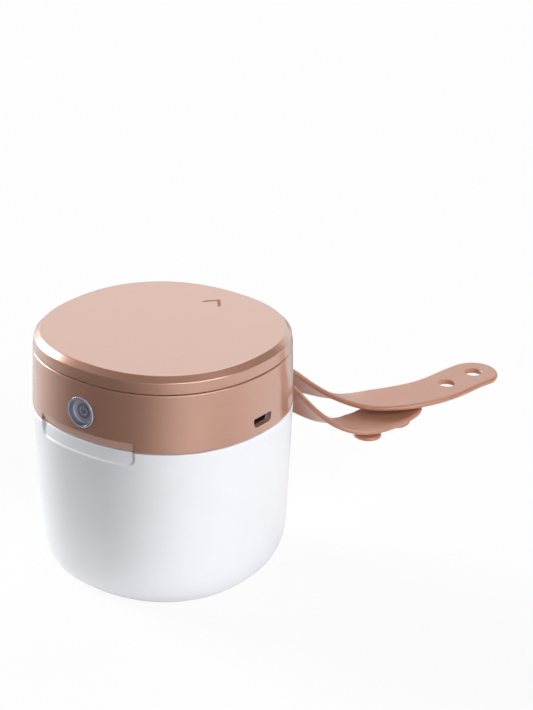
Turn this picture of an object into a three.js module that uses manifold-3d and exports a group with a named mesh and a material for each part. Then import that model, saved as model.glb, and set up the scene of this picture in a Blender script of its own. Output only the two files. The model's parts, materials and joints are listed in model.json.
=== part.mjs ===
// Portable case that sterilises a soother with ultraviolet lamps: a white pot with a bright liner, a hinged
// lid that holds the lamps, the battery and the push button, and a silicone carrying strap folded round a
// steel pin. Millimetres, +Z up. The push button faces -Y, the charge socket faces +X and the hinge is at +Y.
// The origin is the centre of the foot pad's underside.

import * as THREE from "three";
import { mergeVertices } from "three/addons/utils/BufferGeometryUtils.js";
import Module from "manifold-3d";

const wasm = await Module();
wasm.setup();

// Plan: every ring of the case is a rounded square with flats to the front, back and sides.
const case_half = 40; // half width across the flats at the seam between pot and lid
const plan_power = 2.26; // 2 would be a circle, larger is squarer

// Clearances that all pieces share.
const seam_gap = 0.3; // open line between two housings
const seat_gap = 0.1; // between flat faces that rest on each other
const slip_gap = 0.3; // round a piece that slides or is dropped in
const running_gap = 0.12; // radial, between a pin and what turns on it
const overrun = 2; // how far a cutter passes its target

// Pot.
const seam_height = 56.3; // middle of the seam above the table
const pot_wall = 2.1;
const base_taper = 1.3; // lost by the side from the seam to where it would reach the base
const base_fillet_reach = 9; // inward
const base_fillet_rise = 17; // upward
const rim_ledge_depth = 1.6; // step in the rim that the liner's flange sits in
const rim_wall = 2.2;

// Foot pad.
const pad_inset = 2.7; // inside the flat of the base
const pad_thickness = 1.6;
const pad_proud = 0.4; // stands out of the base

// Liner.
const liner_wall = 1.2;
const liner_mouth_inset = 7; // from the outside of the case
const liner_taper = 2.4; // lost from the mouth to the floor
const liner_floor_height = 8.5; // top of its floor above the table
const liner_fillet = 9;

// Finger scoop across the seam at the front.
const scoop_half_width = 19;
const scoop_drop = 5; // below the seam
const scoop_rise = 3; // above the seam
const scoop_depth = 0.9;
const scoop_corner = 2.6;

// Lid band.
const band_height = 19.6;
const band_wall = 2.1;
const band_taper = 0.45; // lost from the seam to the band's top
const ledge_width = 1.6; // shelf inside that the inner cover seats against
const ledge_thickness = 1.4;

// Top cap.
const cap_height = 5.5;
const cap_thickness = 2.2;
const cap_skirt_wall = 1.9;
const cap_taper = 0.45; // lost from the band's top to the bevel
const cap_bevel_reach = 1.75; // inward
const cap_bevel_drop = 1.85;
const cap_lip_wall = 1.3; // spigot that enters the band
const cap_lip_drop = 1.9; // below the band's top edge
const boss_radius = 2.7;
const boss_inset = 2.28; // from the liner's mouth, along x and y

// Inner cover.
const cover_thickness = 2.4;
const cover_recess = 0.7; // its face above the seam
const cover_lip_wall = 1.4;
const cover_lip_drop = 1.8; // spigot that enters the liner's mouth
const mouth_gap = 0.6;
const standoff_radius = 3;

// Rim seal.
const seal_width = 1;
const seal_height = 1.8;
const seal_inset = 0.6; // from the liner's mouth

// Lamp window and lamps.
const window_radius = 12.9;
const window_thickness = 1.5;
const window_seat = 1.4; // ledge under its edge
const collar_wall = 1.3;
const gasket_wall = 1.2;
const lamp_size = 3.5;
const lamp_height = 1.1;
const lamp_spread = 9; // between the two lamps' centres

// Main board.
const board_margin = 4; // outside the bosses
const board_thickness = 1.2;
const board_corner = 4;
const board_lift = 2.7; // its underside above the inner cover
const board_hole_radius = 1.3;
const socket_tongue_width = 14;
const switch_tongue_width = 16;

// Screws.
const screw_radius = 1;
const screw_length = 12;
const screw_head_radius = 1.9;
const screw_head_height = 1.2;
const screw_recess = 0.2; // head below the cover's face
const drive_radius = 0.8;
const drive_depth = 0.6;

// Push button in the lid's front, with its light ring and switch.
const button_height = 15.8; // below the top of the cap
const button_radius = 4.5;
const button_dish = 0.55;
const button_travel = 0.6;
const button_flange_radius = 5.2;
const button_flange_thickness = 0.8;
const button_stem_radius = 1.5;
const button_stem_length = 1.1;
const ring_wall = 0.42;
const ring_flange_radius = 5.75;
const ring_flange_thickness = 0.8;
const switch_width = 6;
const switch_height = 4.1;
const switch_depth = 4;
const plunger_radius = 0.9;
const plunger_proud_length = 0.9; // out of the switch body
const plunger_root = 1.2; // inside the switch body
const status_length = 1.6;
const status_width = 0.8;
const status_height = 0.6;
const status_spread = 11;

// Charge socket in the lid's right side.
const socket_height = 20.7; // its middle below the top of the cap
const port_width = 8.7; // cut-out in the band
const port_tall = 3.1;
const socket_width = 7.6;
const socket_tall = 2.5;
const socket_length = 5.5;
const socket_setback = 1.5; // mouth behind the band's surface
const socket_skin = 0.3;
const socket_taper_share = 0.16; // of its width, lost on each side at the bottom
const tongue_width = 3.7;
const tongue_tall = 0.6;
const tongue_back = 1;

// Battery, its pad, plug and leads.
const battery_end_gap = 2.3; // to the bosses
const battery_side_gap = 4.3;
const battery_thickness = 6.2;
const battery_corner = 2;
const battery_pad_thickness = 1.3;
const plug_length = 6.4;
const plug_width = 4.2;
const plug_height = 3.6;
const lead_radius = 0.6;
const lead_pitch = 2.2;

// Catch magnets and the sensor that keeps the lamps off while the lid is open.
const magnet_length = 8;
const magnet_width = 1.4;
const magnet_height = 2;
const sensor_length = 3;
const sensor_width = 1.6;
const sensor_height = 1;

// Hinge at the back.
const hinge_reach = 1.6; // axis behind the case
const hinge_rise = 1.2; // axis above the seam
const hinge_pin_radius = 1;
const knuckle_radius = 2.3;
const knuckle_length = 12.4; // middle knuckle, on the pot
const side_knuckle_length = 5.6;
const knuckle_relief = 0.4; // round a knuckle, in the housing that it turns past

// Strap pin and its two ears, under the middle knuckle.
const strap_pin_radius = 1.5;
const strap_pin_reach = 4.2; // axis behind the case
const ear_thickness = 1.7;
const blind_share = 0.25; // of the upper ear, left closed above the pin
const ear_radius = 3;

// Strap.
const strap_thickness = 1.8;
const strap_neck = 9.4;
const strap_width = 16.8;
const strap_clearance = 0.4; // above and below it between the ears
const long_arm_length = 96.5;
const short_arm_length = 72;
const hole_radius = 2.8;
const hole_pitch = 13.6;
const first_hole_distance = 8.4; // from the tip
const peg_neck_radius = 2.2;
const peg_neck_length = 2.6;
const peg_head_radius = 4.6;
const peg_head_height = 2.2;
const tip_end_share = 0.995; // how far round the tip its last section lies

// Shape of each arm at even steps from the pin to its tip, in degrees: direction in plan from +X, and climb.
// The arm stands on edge at the pin and has turned flat between the two twist shares of its length.
const long_heading = [40, 0, 32, 58, 86, 64];
const long_climb = [0, -8, 2, 0, 5];
const long_twist_shares = [0.05, 0.49];
const long_widen_shares = [0.15, 0.6];
const short_heading = [15, -3, -10, 22, 76, 82, 96];
const short_climb = [-1, -7, -13, -1, 9];
const short_twist_shares = [0.28, 0.63];
const short_widen_shares = [0.37, 0.53];

// Facets.
const case_segments = 52;
const inner_segments = 40;
const round_sides = 20;
const small_sides = 14;
const lead_sides = 8;
const lead_steps = 10;
const arm_steps = 21;
const tip_steps = 6;
const loop_steps = 8;
const fillet_steps = 6;
const dish_steps = 4;

// Levels and places worked out from the sizes above.
const pot_base_half = case_half - base_taper;
const pad_half = pot_base_half - base_fillet_reach - pad_inset;
const liner_mouth_half = case_half - liner_mouth_inset;
const liner_floor_half = liner_mouth_half - liner_taper;
const band_top_half = case_half - band_taper;
const cap_edge_half = band_top_half - cap_taper;
const cap_face_half = cap_edge_half - cap_bevel_reach;
const diagonal_share = 2 ** (-1 / plan_power); // of a ring's half width, where it crosses the diagonal
const boss_place = diagonal_share * liner_mouth_half - boss_inset; // along x and y from the middle
const board_half = boss_place + board_margin;
const battery_length = 2 * (boss_place - boss_radius - battery_end_gap);
const battery_width = 2 * (boss_place - boss_radius - battery_side_gap);
const rim_top = seam_height - seam_gap / 2;
const band_bottom = seam_height + seam_gap / 2;
const band_top = seam_height + band_height - seam_gap / 2;
const cap_bottom = band_top + seam_gap;
const lid_top = seam_height + band_height + cap_height;
const cap_underside = lid_top - cap_thickness;
const base_height = pad_proud;
const cover_bottom = seam_height + cover_recess;
const cover_top = cover_bottom + cover_thickness;
const board_bottom = cover_top + board_lift;
const board_top = board_bottom + board_thickness;
const button_level = lid_top - button_height;
const socket_level = lid_top - socket_height;
const band_inner_half = case_half - band_wall;
const cover_half = band_inner_half - 2 * slip_gap;
const pot_inner_half = case_half - rim_wall - liner_wall;
const pot_magnet_half = pot_inner_half - slip_gap;
const lid_magnet_half = cover_half - 2 * slip_gap;
const hinge_y = case_half + hinge_reach;
const hinge_z = seam_height + hinge_rise;
const strap_pin_y = case_half + strap_pin_reach;
const ear_top = rim_top;
const ear_bottom = ear_top - ear_thickness;
const strap_slot = strap_neck + 2 * strap_clearance;
const strap_level = ear_bottom - strap_slot / 2;
const low_ear_top = ear_bottom - strap_slot;
const low_ear_bottom = low_ear_top - ear_thickness;

const degrees = THREE.MathUtils.degToRad;

const materials = {
  blush: new THREE.MeshStandardMaterial({ color: 0xc39480, roughness: 0.42, metalness: 0 }),
  white: new THREE.MeshStandardMaterial({ color: 0xf4f4f6, roughness: 0.35, metalness: 0 }),
  bright: new THREE.MeshStandardMaterial({ color: 0xd9dce0, roughness: 0.14, metalness: 1 }),
  strap: new THREE.MeshStandardMaterial({ color: 0xc99a86, roughness: 0.6, metalness: 0 }),
  rubber: new THREE.MeshStandardMaterial({ color: 0xb9babd, roughness: 0.8, metalness: 0 }),
  smoke: new THREE.MeshStandardMaterial({ color: 0x8d8f9c, roughness: 0.25, metalness: 0 }),
  steel: new THREE.MeshStandardMaterial({ color: 0xb8bbc0, roughness: 0.3, metalness: 1 }),
  glass: new THREE.MeshStandardMaterial({ color: 0xdfeaf0, roughness: 0.05, metalness: 0 }),
  board: new THREE.MeshStandardMaterial({ color: 0x1f5a3c, roughness: 0.5, metalness: 0 }),
  black: new THREE.MeshStandardMaterial({ color: 0x1c1c1f, roughness: 0.5, metalness: 0 }),
  lamp: new THREE.MeshStandardMaterial({ color: 0xe8e2c8, roughness: 0.3, metalness: 0 }),
  foil: new THREE.MeshStandardMaterial({ color: 0xaeb4bc, roughness: 0.35, metalness: 0.8 }),
  foam: new THREE.MeshStandardMaterial({ color: 0x5a5d63, roughness: 0.95, metalness: 0 }),
  redLead: new THREE.MeshStandardMaterial({ color: 0xb3342c, roughness: 0.6, metalness: 0 }),
  blackLead: new THREE.MeshStandardMaterial({ color: 0x202124, roughness: 0.6, metalness: 0 }),
};

// Turns a closed three.js geometry into a solid that can be joined and cut, faces outward.
function solid(geometry) {
  const bare = geometry.clone();
  for (const name of Object.keys(bare.attributes)) {
    if (name !== "position") bare.deleteAttribute(name);
  }
  const merged = mergeVertices(bare, 1e-4);
  const index = merged.index.array;
  const kept = [];
  for (let i = 0; i < index.length; i += 3) {
    const [a, b, c] = [index[i], index[i + 1], index[i + 2]];
    if (a !== b && b !== c && c !== a) kept.push(a, b, c);
  }
  const vertProperties = new Float32Array(merged.attributes.position.array);
  const build = (list) =>
    new wasm.Manifold(new wasm.Mesh({ numProp: 3, vertProperties, triVerts: new Uint32Array(list) }));
  const made = build(kept);
  return made.volume() > 0 ? made : build(kept.reverse());
}

function geometryOf(body) {
  const mesh = body.getMesh();
  const geometry = new THREE.BufferGeometry();
  geometry.setAttribute("position", new THREE.BufferAttribute(new Float32Array(mesh.vertProperties), 3));
  geometry.setIndex(Array.from(mesh.triVerts));
  geometry.computeVertexNormals();
  return geometry;
}

const join = (...bodies) => bodies.reduce((sum, body) => sum.add(body));
const cut = (target, ...tools) => tools.reduce((rest, tool) => rest.subtract(tool), target);

// Radius of the plan outline as a multiple of its half width, at an angle from +X.
function planShape(angle) {
  const sum = Math.abs(Math.cos(angle)) ** plan_power + Math.abs(Math.sin(angle)) ** plan_power;
  return sum ** (-1 / plan_power);
}

// Revolves a profile of [half width, height] pairs and presses each ring into the plan's rounded square.
function softRevolve(profile, segments = case_segments) {
  const points = profile.map(([half, height]) => new THREE.Vector2(half, height));
  const geometry = new THREE.LatheGeometry(points, segments).rotateX(Math.PI / 2);
  const place = geometry.attributes.position;
  for (let i = 0; i < place.count; i++) {
    const grow = planShape(Math.atan2(place.getY(i), place.getX(i)));
    place.setXY(i, place.getX(i) * grow, place.getY(i) * grow);
  }
  return solid(geometry);
}

// Upright ring with the plan's shape between two half widths and two levels.
function softRing(innerHalf, outerHalf, bottom, top, segments = inner_segments) {
  const profile = [[innerHalf, bottom], [outerHalf, bottom], [outerHalf, top], [innerHalf, top]];
  return softRevolve([...profile, profile[0]], segments);
}

function softDisc(half, bottom, top, segments = inner_segments) {
  return softRevolve([[0, bottom], [half, bottom], [half, top], [0, top]], segments);
}

// Round ring or disc about an upright axis.
function roundRing(innerRadius, outerRadius, bottom, top, sides = round_sides) {
  const profile = [[innerRadius, bottom], [outerRadius, bottom], [outerRadius, top], [innerRadius, top]];
  const points = [...profile, profile[0]].map(([radius, height]) => new THREE.Vector2(radius, height));
  return solid(new THREE.LatheGeometry(points, sides).rotateX(Math.PI / 2));
}

// Cylinder from one point to another.
function rod(radius, from, to, sides = round_sides) {
  const start = new THREE.Vector3(...from);
  const span = new THREE.Vector3(...to).sub(start);
  const geometry = new THREE.CylinderGeometry(radius, radius, span.length(), sides);
  const along = span.clone().normalize();
  const turn = new THREE.Quaternion().setFromUnitVectors(new THREE.Vector3(0, 1, 0), along);
  geometry.applyQuaternion(turn);
  const middle = start.add(span.multiplyScalar(1 / 2));
  return solid(geometry.translate(middle.x, middle.y, middle.z));
}

// Box between two corners.
function block([x0, y0, z0], [x1, y1, z1]) {
  const geometry = new THREE.BoxGeometry(x1 - x0, y1 - y0, z1 - z0);
  return solid(geometry.translate((x0 + x1) / 2, (y0 + y1) / 2, (z0 + z1) / 2));
}

// Rectangle with round corners, as a shape about its middle.
function roundedRectangle(width, height, corner) {
  const shape = new THREE.Shape();
  const [x, y] = [width / 2, height / 2];
  shape.moveTo(-x + corner, -y);
  shape.lineTo(x - corner, -y);
  shape.absarc(x - corner, -y + corner, corner, -Math.PI / 2, 0);
  shape.lineTo(x, y - corner);
  shape.absarc(x - corner, y - corner, corner, 0, Math.PI / 2);
  shape.lineTo(-x + corner, y);
  shape.absarc(-x + corner, y - corner, corner, Math.PI / 2, Math.PI);
  shape.lineTo(-x, -y + corner);
  shape.absarc(-x + corner, -y + corner, corner, Math.PI, (3 * Math.PI) / 2);
  return shape;
}

// Extrudes a shape drawn in x and y upward between two levels.
function plate(shape, bottom, top, curveSegments = 4) {
  const depth = top - bottom;
  const geometry = new THREE.ExtrudeGeometry(shape, { depth, bevelEnabled: false, curveSegments });
  return solid(geometry.translate(0, 0, bottom));
}

// Points of a quarter ellipse in a profile, from one angle to another about a centre.
function quarter(centreHalf, centreHeight, reach, rise, fromAngle, toAngle) {
  return Array.from({ length: fillet_steps + 1 }, (_, i) => {
    const angle = degrees(fromAngle + ((toAngle - fromAngle) * i) / fillet_steps);
    return [centreHalf + reach * Math.cos(angle), centreHeight + rise * Math.sin(angle)];
  });
}

const smooth = (share) => THREE.MathUtils.smoothstep(share, 0, 1);
const between = (value, low, high) => smooth((value - low) / (high - low));

// Pot shell: tapered side, elliptical base fillet, stepped rim, finger scoop, middle knuckle and strap ears.
function potShell() {
  const innerBase = base_height + pot_wall;
  const outer = quarter(
    pot_base_half - base_fillet_reach, base_height + base_fillet_rise,
    base_fillet_reach, base_fillet_rise, -90, 0,
  );
  const inner = quarter(
    pot_base_half - base_fillet_reach, base_height + base_fillet_rise,
    base_fillet_reach - pot_wall, base_fillet_rise - pot_wall, 0, -90,
  );
  const shell = softRevolve([
    [0, base_height],
    ...outer,
    [case_half, rim_top],
    [case_half - rim_wall, rim_top],
    [case_half - rim_wall, rim_top - rim_ledge_depth],
    [pot_inner_half, rim_top - rim_ledge_depth],
    ...inner,
    [0, innerBase],
  ]);
  const padPocket = softDisc(pad_half + slip_gap, base_height - overrun, pad_thickness + seat_gap);
  const scoopShape = roundedRectangle(2 * scoop_half_width, 2 * scoop_drop, scoop_corner);
  const scoopBlock = solid(
    new THREE.ExtrudeGeometry(scoopShape, { depth: case_half, bevelEnabled: false, curveSegments: 4 })
      .rotateX(Math.PI / 2)
      .translate(0, 0, seam_height),
  );
  const scoop = cut(scoopBlock, softDisc(case_half - scoop_depth, 0, lid_top, case_segments));
  const sideX = knuckle_length / 2 + side_knuckle_length + 2 * slip_gap;
  const relief = rod(knuckle_radius + knuckle_relief, [-sideX, hinge_y, hinge_z], [sideX, hinge_y, hinge_z]);
  const knuckle = rod(
    knuckle_radius, [-knuckle_length / 2, hinge_y, hinge_z], [knuckle_length / 2, hinge_y, hinge_z],
  );
  const root = case_half - pot_wall + seat_gap;
  const bracket = block(
    [-knuckle_length / 2, root, ear_bottom],
    [knuckle_length / 2, hinge_y + knuckle_radius, ear_top],
  );
  const pinBore = rod(
    hinge_pin_radius + running_gap,
    [-knuckle_length / 2 - overrun, hinge_y, hinge_z], [knuckle_length / 2 + overrun, hinge_y, hinge_z],
  );
  const strapBore = rod(
    strap_pin_radius + running_gap,
    [0, strap_pin_y, low_ear_bottom - overrun], [0, strap_pin_y, ear_top - blind_share * ear_thickness],
  );
  return cut(
    join(
      cut(shell, padPocket, scoop, relief),
      bracket,
      knuckle,
      ear(root, ear_bottom, ear_top),
      ear(root, low_ear_bottom, low_ear_top),
    ),
    pinBore,
    strapBore,
  );
}

// Ear that reaches from the pot's back wall round the strap pin.
function ear(rootY, bottom, top) {
  const shape = new THREE.Shape();
  shape.moveTo(-ear_radius, rootY);
  shape.lineTo(ear_radius, rootY);
  shape.lineTo(ear_radius, strap_pin_y);
  shape.absarc(0, strap_pin_y, ear_radius, 0, Math.PI);
  shape.lineTo(-ear_radius, rootY);
  return plate(shape, bottom, top, round_sides / 4);
}

// Liner: one bright bowl whose flange lies in the step of the pot's rim.
function linerBowl() {
  const flangeTop = rim_top - seat_gap;
  const flangeBottom = rim_top - rim_ledge_depth + seat_gap;
  const flangeHalf = case_half - rim_wall - slip_gap;
  const outerFloor = liner_floor_height - liner_wall;
  const inside = quarter(
    liner_floor_half - liner_fillet, liner_floor_height + liner_fillet, liner_fillet, liner_fillet, -90, 0,
  );
  const outside = quarter(
    liner_floor_half - liner_fillet, liner_floor_height + liner_fillet,
    liner_fillet + liner_wall, liner_fillet + liner_wall, 0, -90,
  );
  return softRevolve([
    [0, liner_floor_height],
    ...inside,
    [liner_mouth_half, flangeTop],
    [flangeHalf, flangeTop],
    [flangeHalf, flangeBottom],
    [liner_mouth_half + liner_wall, flangeBottom],
    ...outside,
    [0, outerFloor],
  ], inner_segments);
}

// Lid band: tapered ring with the seat ledge, side knuckles, button hole, port cut-out and half the scoop.
function lidBand() {
  const ledgeBottom = cover_top + slip_gap;
  const ledgeHalf = band_inner_half - ledge_width;
  const topInner = band_top_half - band_wall;
  const ring = softRevolve([
    [band_inner_half, band_bottom],
    [case_half, band_bottom],
    [band_top_half, band_top],
    [topInner, band_top],
    [topInner, ledgeBottom + ledge_thickness + ledge_width],
    [ledgeHalf, ledgeBottom + ledge_thickness],
    [ledgeHalf, ledgeBottom],
    [band_inner_half, ledgeBottom],
    [band_inner_half, band_bottom],
  ]);
  const scoopBlock = block(
    [-scoop_half_width, -case_half - overrun, band_bottom - overrun],
    [scoop_half_width, 0, band_bottom + scoop_rise],
  );
  const slope = scoop_depth / scoop_rise;
  const cone = softRevolve([
    [0, band_bottom - overrun],
    [case_half - scoop_depth - slope * overrun, band_bottom - overrun],
    [case_half + slope * overrun, band_bottom + scoop_rise + overrun],
    [0, band_bottom + scoop_rise + overrun],
  ]);
  const midX = knuckle_length / 2 + slip_gap;
  const sideX = midX + side_knuckle_length;
  const relief = rod(knuckle_radius + knuckle_relief, [-midX, hinge_y, hinge_z], [midX, hinge_y, hinge_z]);
  const buttonHole = rod(
    button_radius + slip_gap / 2 + ring_wall + seat_gap + seat_gap,
    [0, -case_half - overrun, button_level], [0, -band_inner_half + ledge_width + overrun, button_level],
  );
  const ringRoom = rod(
    ring_flange_radius + slip_gap,
    [0, -band_inner_half + seat_gap, button_level], [0, -ledgeHalf + overrun, button_level],
  );
  const port = socketSection(port_width, port_tall, case_half - band_wall - overrun, case_half + overrun);
  const socketRoom = block(
    [ledgeHalf - overrun, -socket_tongue_width / 2 - slip_gap, ledgeBottom - seat_gap],
    [band_inner_half - seat_gap, socket_tongue_width / 2 + slip_gap, board_top + slip_gap],
  );
  let band = cut(ring, cut(scoopBlock, cone), relief, buttonHole, ringRoom, port, socketRoom);
  for (const side of [-1, 1]) {
    const [near, far] = [side * midX, side * sideX];
    const barrel = rod(knuckle_radius, [near, hinge_y, hinge_z], [far, hinge_y, hinge_z]);
    const web = block(
      [Math.min(near, far), case_half - band_wall + seat_gap, hinge_z],
      [Math.max(near, far), hinge_y, hinge_z + knuckle_radius + seat_gap],
    );
    const bore = rod(
      hinge_pin_radius + running_gap,
      [near - side * overrun, hinge_y, hinge_z], [far + side * overrun, hinge_y, hinge_z],
    );
    band = cut(join(band, barrel, web), bore);
  }
  return band;
}

// Outline of the socket looking along -X at the lid's right side: flat and wide on top, drawn in at the
// bottom.
function socketSection(width, tall, fromX, toX) {
  const narrow = width * (1 / 2 - socket_taper_share);
  const shape = new THREE.Shape();
  shape.moveTo(-width / 2, tall / 2);
  shape.lineTo(-width / 2, 0);
  shape.lineTo(-narrow, -tall / 2);
  shape.lineTo(narrow, -tall / 2);
  shape.lineTo(width / 2, 0);
  shape.lineTo(width / 2, tall / 2);
  shape.closePath();
  const geometry = new THREE.ExtrudeGeometry(shape, { depth: toX - fromX, bevelEnabled: false });
  geometry.rotateX(Math.PI / 2).rotateZ(Math.PI / 2);
  return solid(geometry.translate(fromX, 0, socket_level));
}

// Top cap: bevelled plate with a skirt, a spigot that enters the band, and four screw bosses.
function topCap() {
  const innerHalf = cap_edge_half - cap_skirt_wall;
  const lipOuter = band_top_half - band_wall - slip_gap;
  const lipInner = lipOuter - cap_lip_wall;
  const lipBottom = band_top - cap_lip_drop;
  const cap = softRevolve([
    [0, cap_underside],
    [lipInner, cap_underside],
    [lipInner, lipBottom],
    [lipOuter, lipBottom],
    [lipOuter, cap_bottom],
    [band_top_half, cap_bottom],
    [cap_edge_half, lid_top - cap_bevel_drop],
    [cap_face_half, lid_top],
    [0, lid_top],
  ]);
  const bosses = cornerPlaces().map(([x, y]) =>
    rod(boss_radius, [x, y, board_top + seat_gap], [x, y, cap_underside + cap_thickness / 2], small_sides));
  const bores = cornerPlaces().map(([x, y]) =>
    rod(screw_radius + running_gap, [x, y, board_top - overrun], [x, y, screwTip() + overrun], small_sides));
  return cut(join(cap, ...bosses), ...bores);
}

function cornerPlaces() {
  return [[1, 1], [-1, 1], [-1, -1], [1, -1]].map(([x, y]) => [x * boss_place, y * boss_place]);
}

const screwHeadFace = () => cover_bottom + screw_recess;
const screwTip = () => screwHeadFace() + screw_head_height + screw_length;

// Screw that clamps the inner cover and the board to a boss, head down, with a round drive recess.
function coverScrew(x, y) {
  const face = screwHeadFace();
  const shoulder = face + screw_head_height;
  const body = join(
    rod(screw_head_radius, [x, y, face], [x, y, shoulder], small_sides),
    rod(screw_radius, [x, y, shoulder - screw_head_height / 2], [x, y, screwTip()], small_sides),
  );
  return cut(body, rod(drive_radius, [x, y, face - overrun], [x, y, face + drive_depth], 6));
}

// Inner cover: plate with the mouth spigot, seal groove, window seat and collar, standoffs and magnet pocket.
function innerCover() {
  const lipOuter = liner_mouth_half - mouth_gap;
  const lipInner = lipOuter - cover_lip_wall;
  const grooveInner = liner_mouth_half + seal_inset - seat_gap;
  const grooveOuter = grooveInner + seal_width + 2 * seat_gap;
  const grooveTop = cover_bottom + cover_thickness / 2;
  const collarTop = board_bottom - seat_gap;
  const openRadius = window_radius - window_seat;
  const pocketRadius = window_radius + slip_gap;
  const seatLevel = cover_bottom + cover_thickness / 2;
  let cover = join(
    softDisc(cover_half, cover_bottom, cover_top, case_segments),
    softRing(lipInner, lipOuter, cover_bottom - cover_lip_drop, cover_bottom + cover_thickness / 2),
    roundRing(openRadius, pocketRadius + collar_wall, cover_top - cover_thickness / 2, collarTop),
    ...cornerPlaces().map(([x, y]) => rod(
      standoff_radius, [x, y, cover_bottom], [x, y, collarTop], small_sides,
    )),
  );
  const magnetRoom = magnetBar(
    lid_magnet_half, cover_bottom + 2 * seat_gap, cover_top + overrun, slip_gap / 2,
  );
  const socketRoom = block(
    [case_half - socket_setback - socket_length - slip_gap, -socket_width / 2 - slip_gap,
      socket_level - socket_tall / 2 - slip_gap],
    [case_half, socket_width / 2 + slip_gap, cover_top + overrun],
  );
  cover = cut(
    cover,
    rod(openRadius, [0, 0, cover_bottom - overrun], [0, 0, collarTop + overrun]),
    rod(pocketRadius, [0, 0, seatLevel], [0, 0, collarTop + overrun]),
    softRing(grooveInner, grooveOuter, cover_bottom - overrun, grooveTop),
    magnetRoom,
    socketRoom,
  );
  for (const [x, y] of cornerPlaces()) {
    cover = cut(
      cover,
      rod(
        screw_radius + running_gap,
        [x, y, cover_bottom - overrun], [x, y, collarTop + overrun], small_sides,
      ),
      rod(
        screw_head_radius + slip_gap,
        [x, y, cover_bottom - overrun], [x, y, screwHeadFace() + screw_head_height + seat_gap], small_sides,
      ),
    );
  }
  return cover;
}

// Magnet bar that lies along the front, its outer side at a distance from the middle of the case.
function magnetBar(outerHalf, bottom, top, grow = 0) {
  return block(
    [-magnet_length / 2 - grow, -outerHalf - grow, bottom],
    [magnet_length / 2 + grow, -outerHalf + magnet_width + grow, top],
  );
}

// Main board: rounded square with a tongue to the socket and one to the switch.
function mainBoard() {
  const tongueX = case_half - socket_setback - socket_length / 2;
  const tongueY = switchFront() + plunger_proud_length / 2;
  let board = join(
    plate(roundedRectangle(2 * board_half, 2 * board_half, board_corner), board_bottom, board_top),
    block([0, -socket_tongue_width / 2, board_bottom], [tongueX, socket_tongue_width / 2, board_top]),
    block([-switch_tongue_width / 2, tongueY, board_bottom], [switch_tongue_width / 2, 0, board_top]),
  );
  for (const [x, y] of cornerPlaces()) {
    const hole = rod(
      board_hole_radius, [x, y, board_bottom - overrun], [x, y, board_top + overrun], small_sides,
    );
    board = cut(board, hole);
  }
  return board;
}

// Places along Y of the button train, from the face inward.
const buttonFace = () => -case_half;
const ringFlangeFront = () => -band_inner_half + 2 * slip_gap;
const buttonFlangeFront = () => ringFlangeFront() + ring_flange_thickness + slip_gap;
const stemEnd = () => buttonFlangeFront() + button_flange_thickness + button_stem_length;
const plungerFront = () => stemEnd() + seat_gap;
const switchFront = () => plungerFront() + plunger_proud_length;

// Turns a profile of [radius, depth behind the button's face] about the button's axis.
function turnedOnButtonAxis(profile, sides = round_sides) {
  const points = profile.map(([radius, depth]) => new THREE.Vector2(radius, depth));
  return solid(new THREE.LatheGeometry(points, sides).translate(0, buttonFace(), button_level));
}

// Push button: dished disc on a skirt, a flange that keeps it in the ring, and a stem to the switch.
function powerButton() {
  const flangeFront = buttonFlangeFront() - buttonFace();
  const flangeBack = flangeFront + button_flange_thickness;
  const stemBack = flangeBack + button_stem_length;
  const dish = Array.from({ length: dish_steps }, (_, i) => {
    const share = i / dish_steps;
    return [button_radius * share, button_dish * (1 - share * share)];
  });
  return turnedOnButtonAxis([
    ...dish,
    [button_radius - button_dish / 2, 0],
    [button_radius, button_dish / 2],
    [button_radius, flangeFront],
    [button_flange_radius, flangeFront],
    [button_flange_radius, flangeBack],
    [button_stem_radius, flangeBack],
    [button_stem_radius, stemBack],
    [0, stemBack],
  ]);
}

// Light ring round the button, flanged behind the band's wall.
function lightRing() {
  const inner = button_radius + slip_gap / 2;
  const outer = inner + ring_wall;
  const flangeFront = ringFlangeFront() - buttonFace();
  const flangeBack = flangeFront + ring_flange_thickness;
  return turnedOnButtonAxis([
    [inner, ring_wall / 2],
    [inner + ring_wall / 2, 0],
    [outer, ring_wall / 2],
    [outer, flangeFront],
    [ring_flange_radius, flangeFront],
    [ring_flange_radius, flangeBack],
    [inner, flangeBack],
    [inner, ring_wall / 2],
  ]);
}

function switchBody() {
  const front = switchFront();
  const box = block(
    [-switch_width / 2, front, board_top + seat_gap],
    [switch_width / 2, front + switch_depth, board_top + switch_height],
  );
  const room = plunger_root + button_travel + slip_gap;
  const bore = rod(
    plunger_radius + running_gap,
    [0, front - overrun, button_level], [0, front + room, button_level], small_sides,
  );
  return cut(box, bore);
}

function switchPlunger() {
  return rod(
    plunger_radius,
    [0, plungerFront(), button_level], [0, switchFront() + plunger_root, button_level], small_sides,
  );
}

function statusLamp(side) {
  const y = switchFront() + status_width;
  const x = (side * status_spread) / 2;
  return block(
    [x - status_length / 2, y, board_top + seat_gap],
    [x + status_length / 2, y + status_width, board_top + seat_gap + status_height],
  );
}

// Charge socket: drawn shell open to the right, and the contact tongue with its back wall inside.
function socketShell() {
  const mouth = case_half - socket_setback;
  const outside = socketSection(socket_width, socket_tall, mouth - socket_length, mouth);
  const inside = socketSection(
    socket_width - 2 * socket_skin, socket_tall - 2 * socket_skin,
    mouth - socket_length + socket_skin, mouth + overrun,
  );
  return cut(outside, inside);
}

function socketTongue() {
  const mouth = case_half - socket_setback;
  const back = mouth - socket_length + socket_skin + seat_gap;
  const fit = 2 * socket_skin + 2 * seat_gap;
  return join(
    socketSection(socket_width - fit, socket_tall - fit, back, back + tongue_back),
    block(
      [back, -tongue_width / 2, socket_level - tongue_tall / 2],
      [mouth - 2 * socket_skin, tongue_width / 2, socket_level + tongue_tall / 2],
    ),
  );
}

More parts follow.
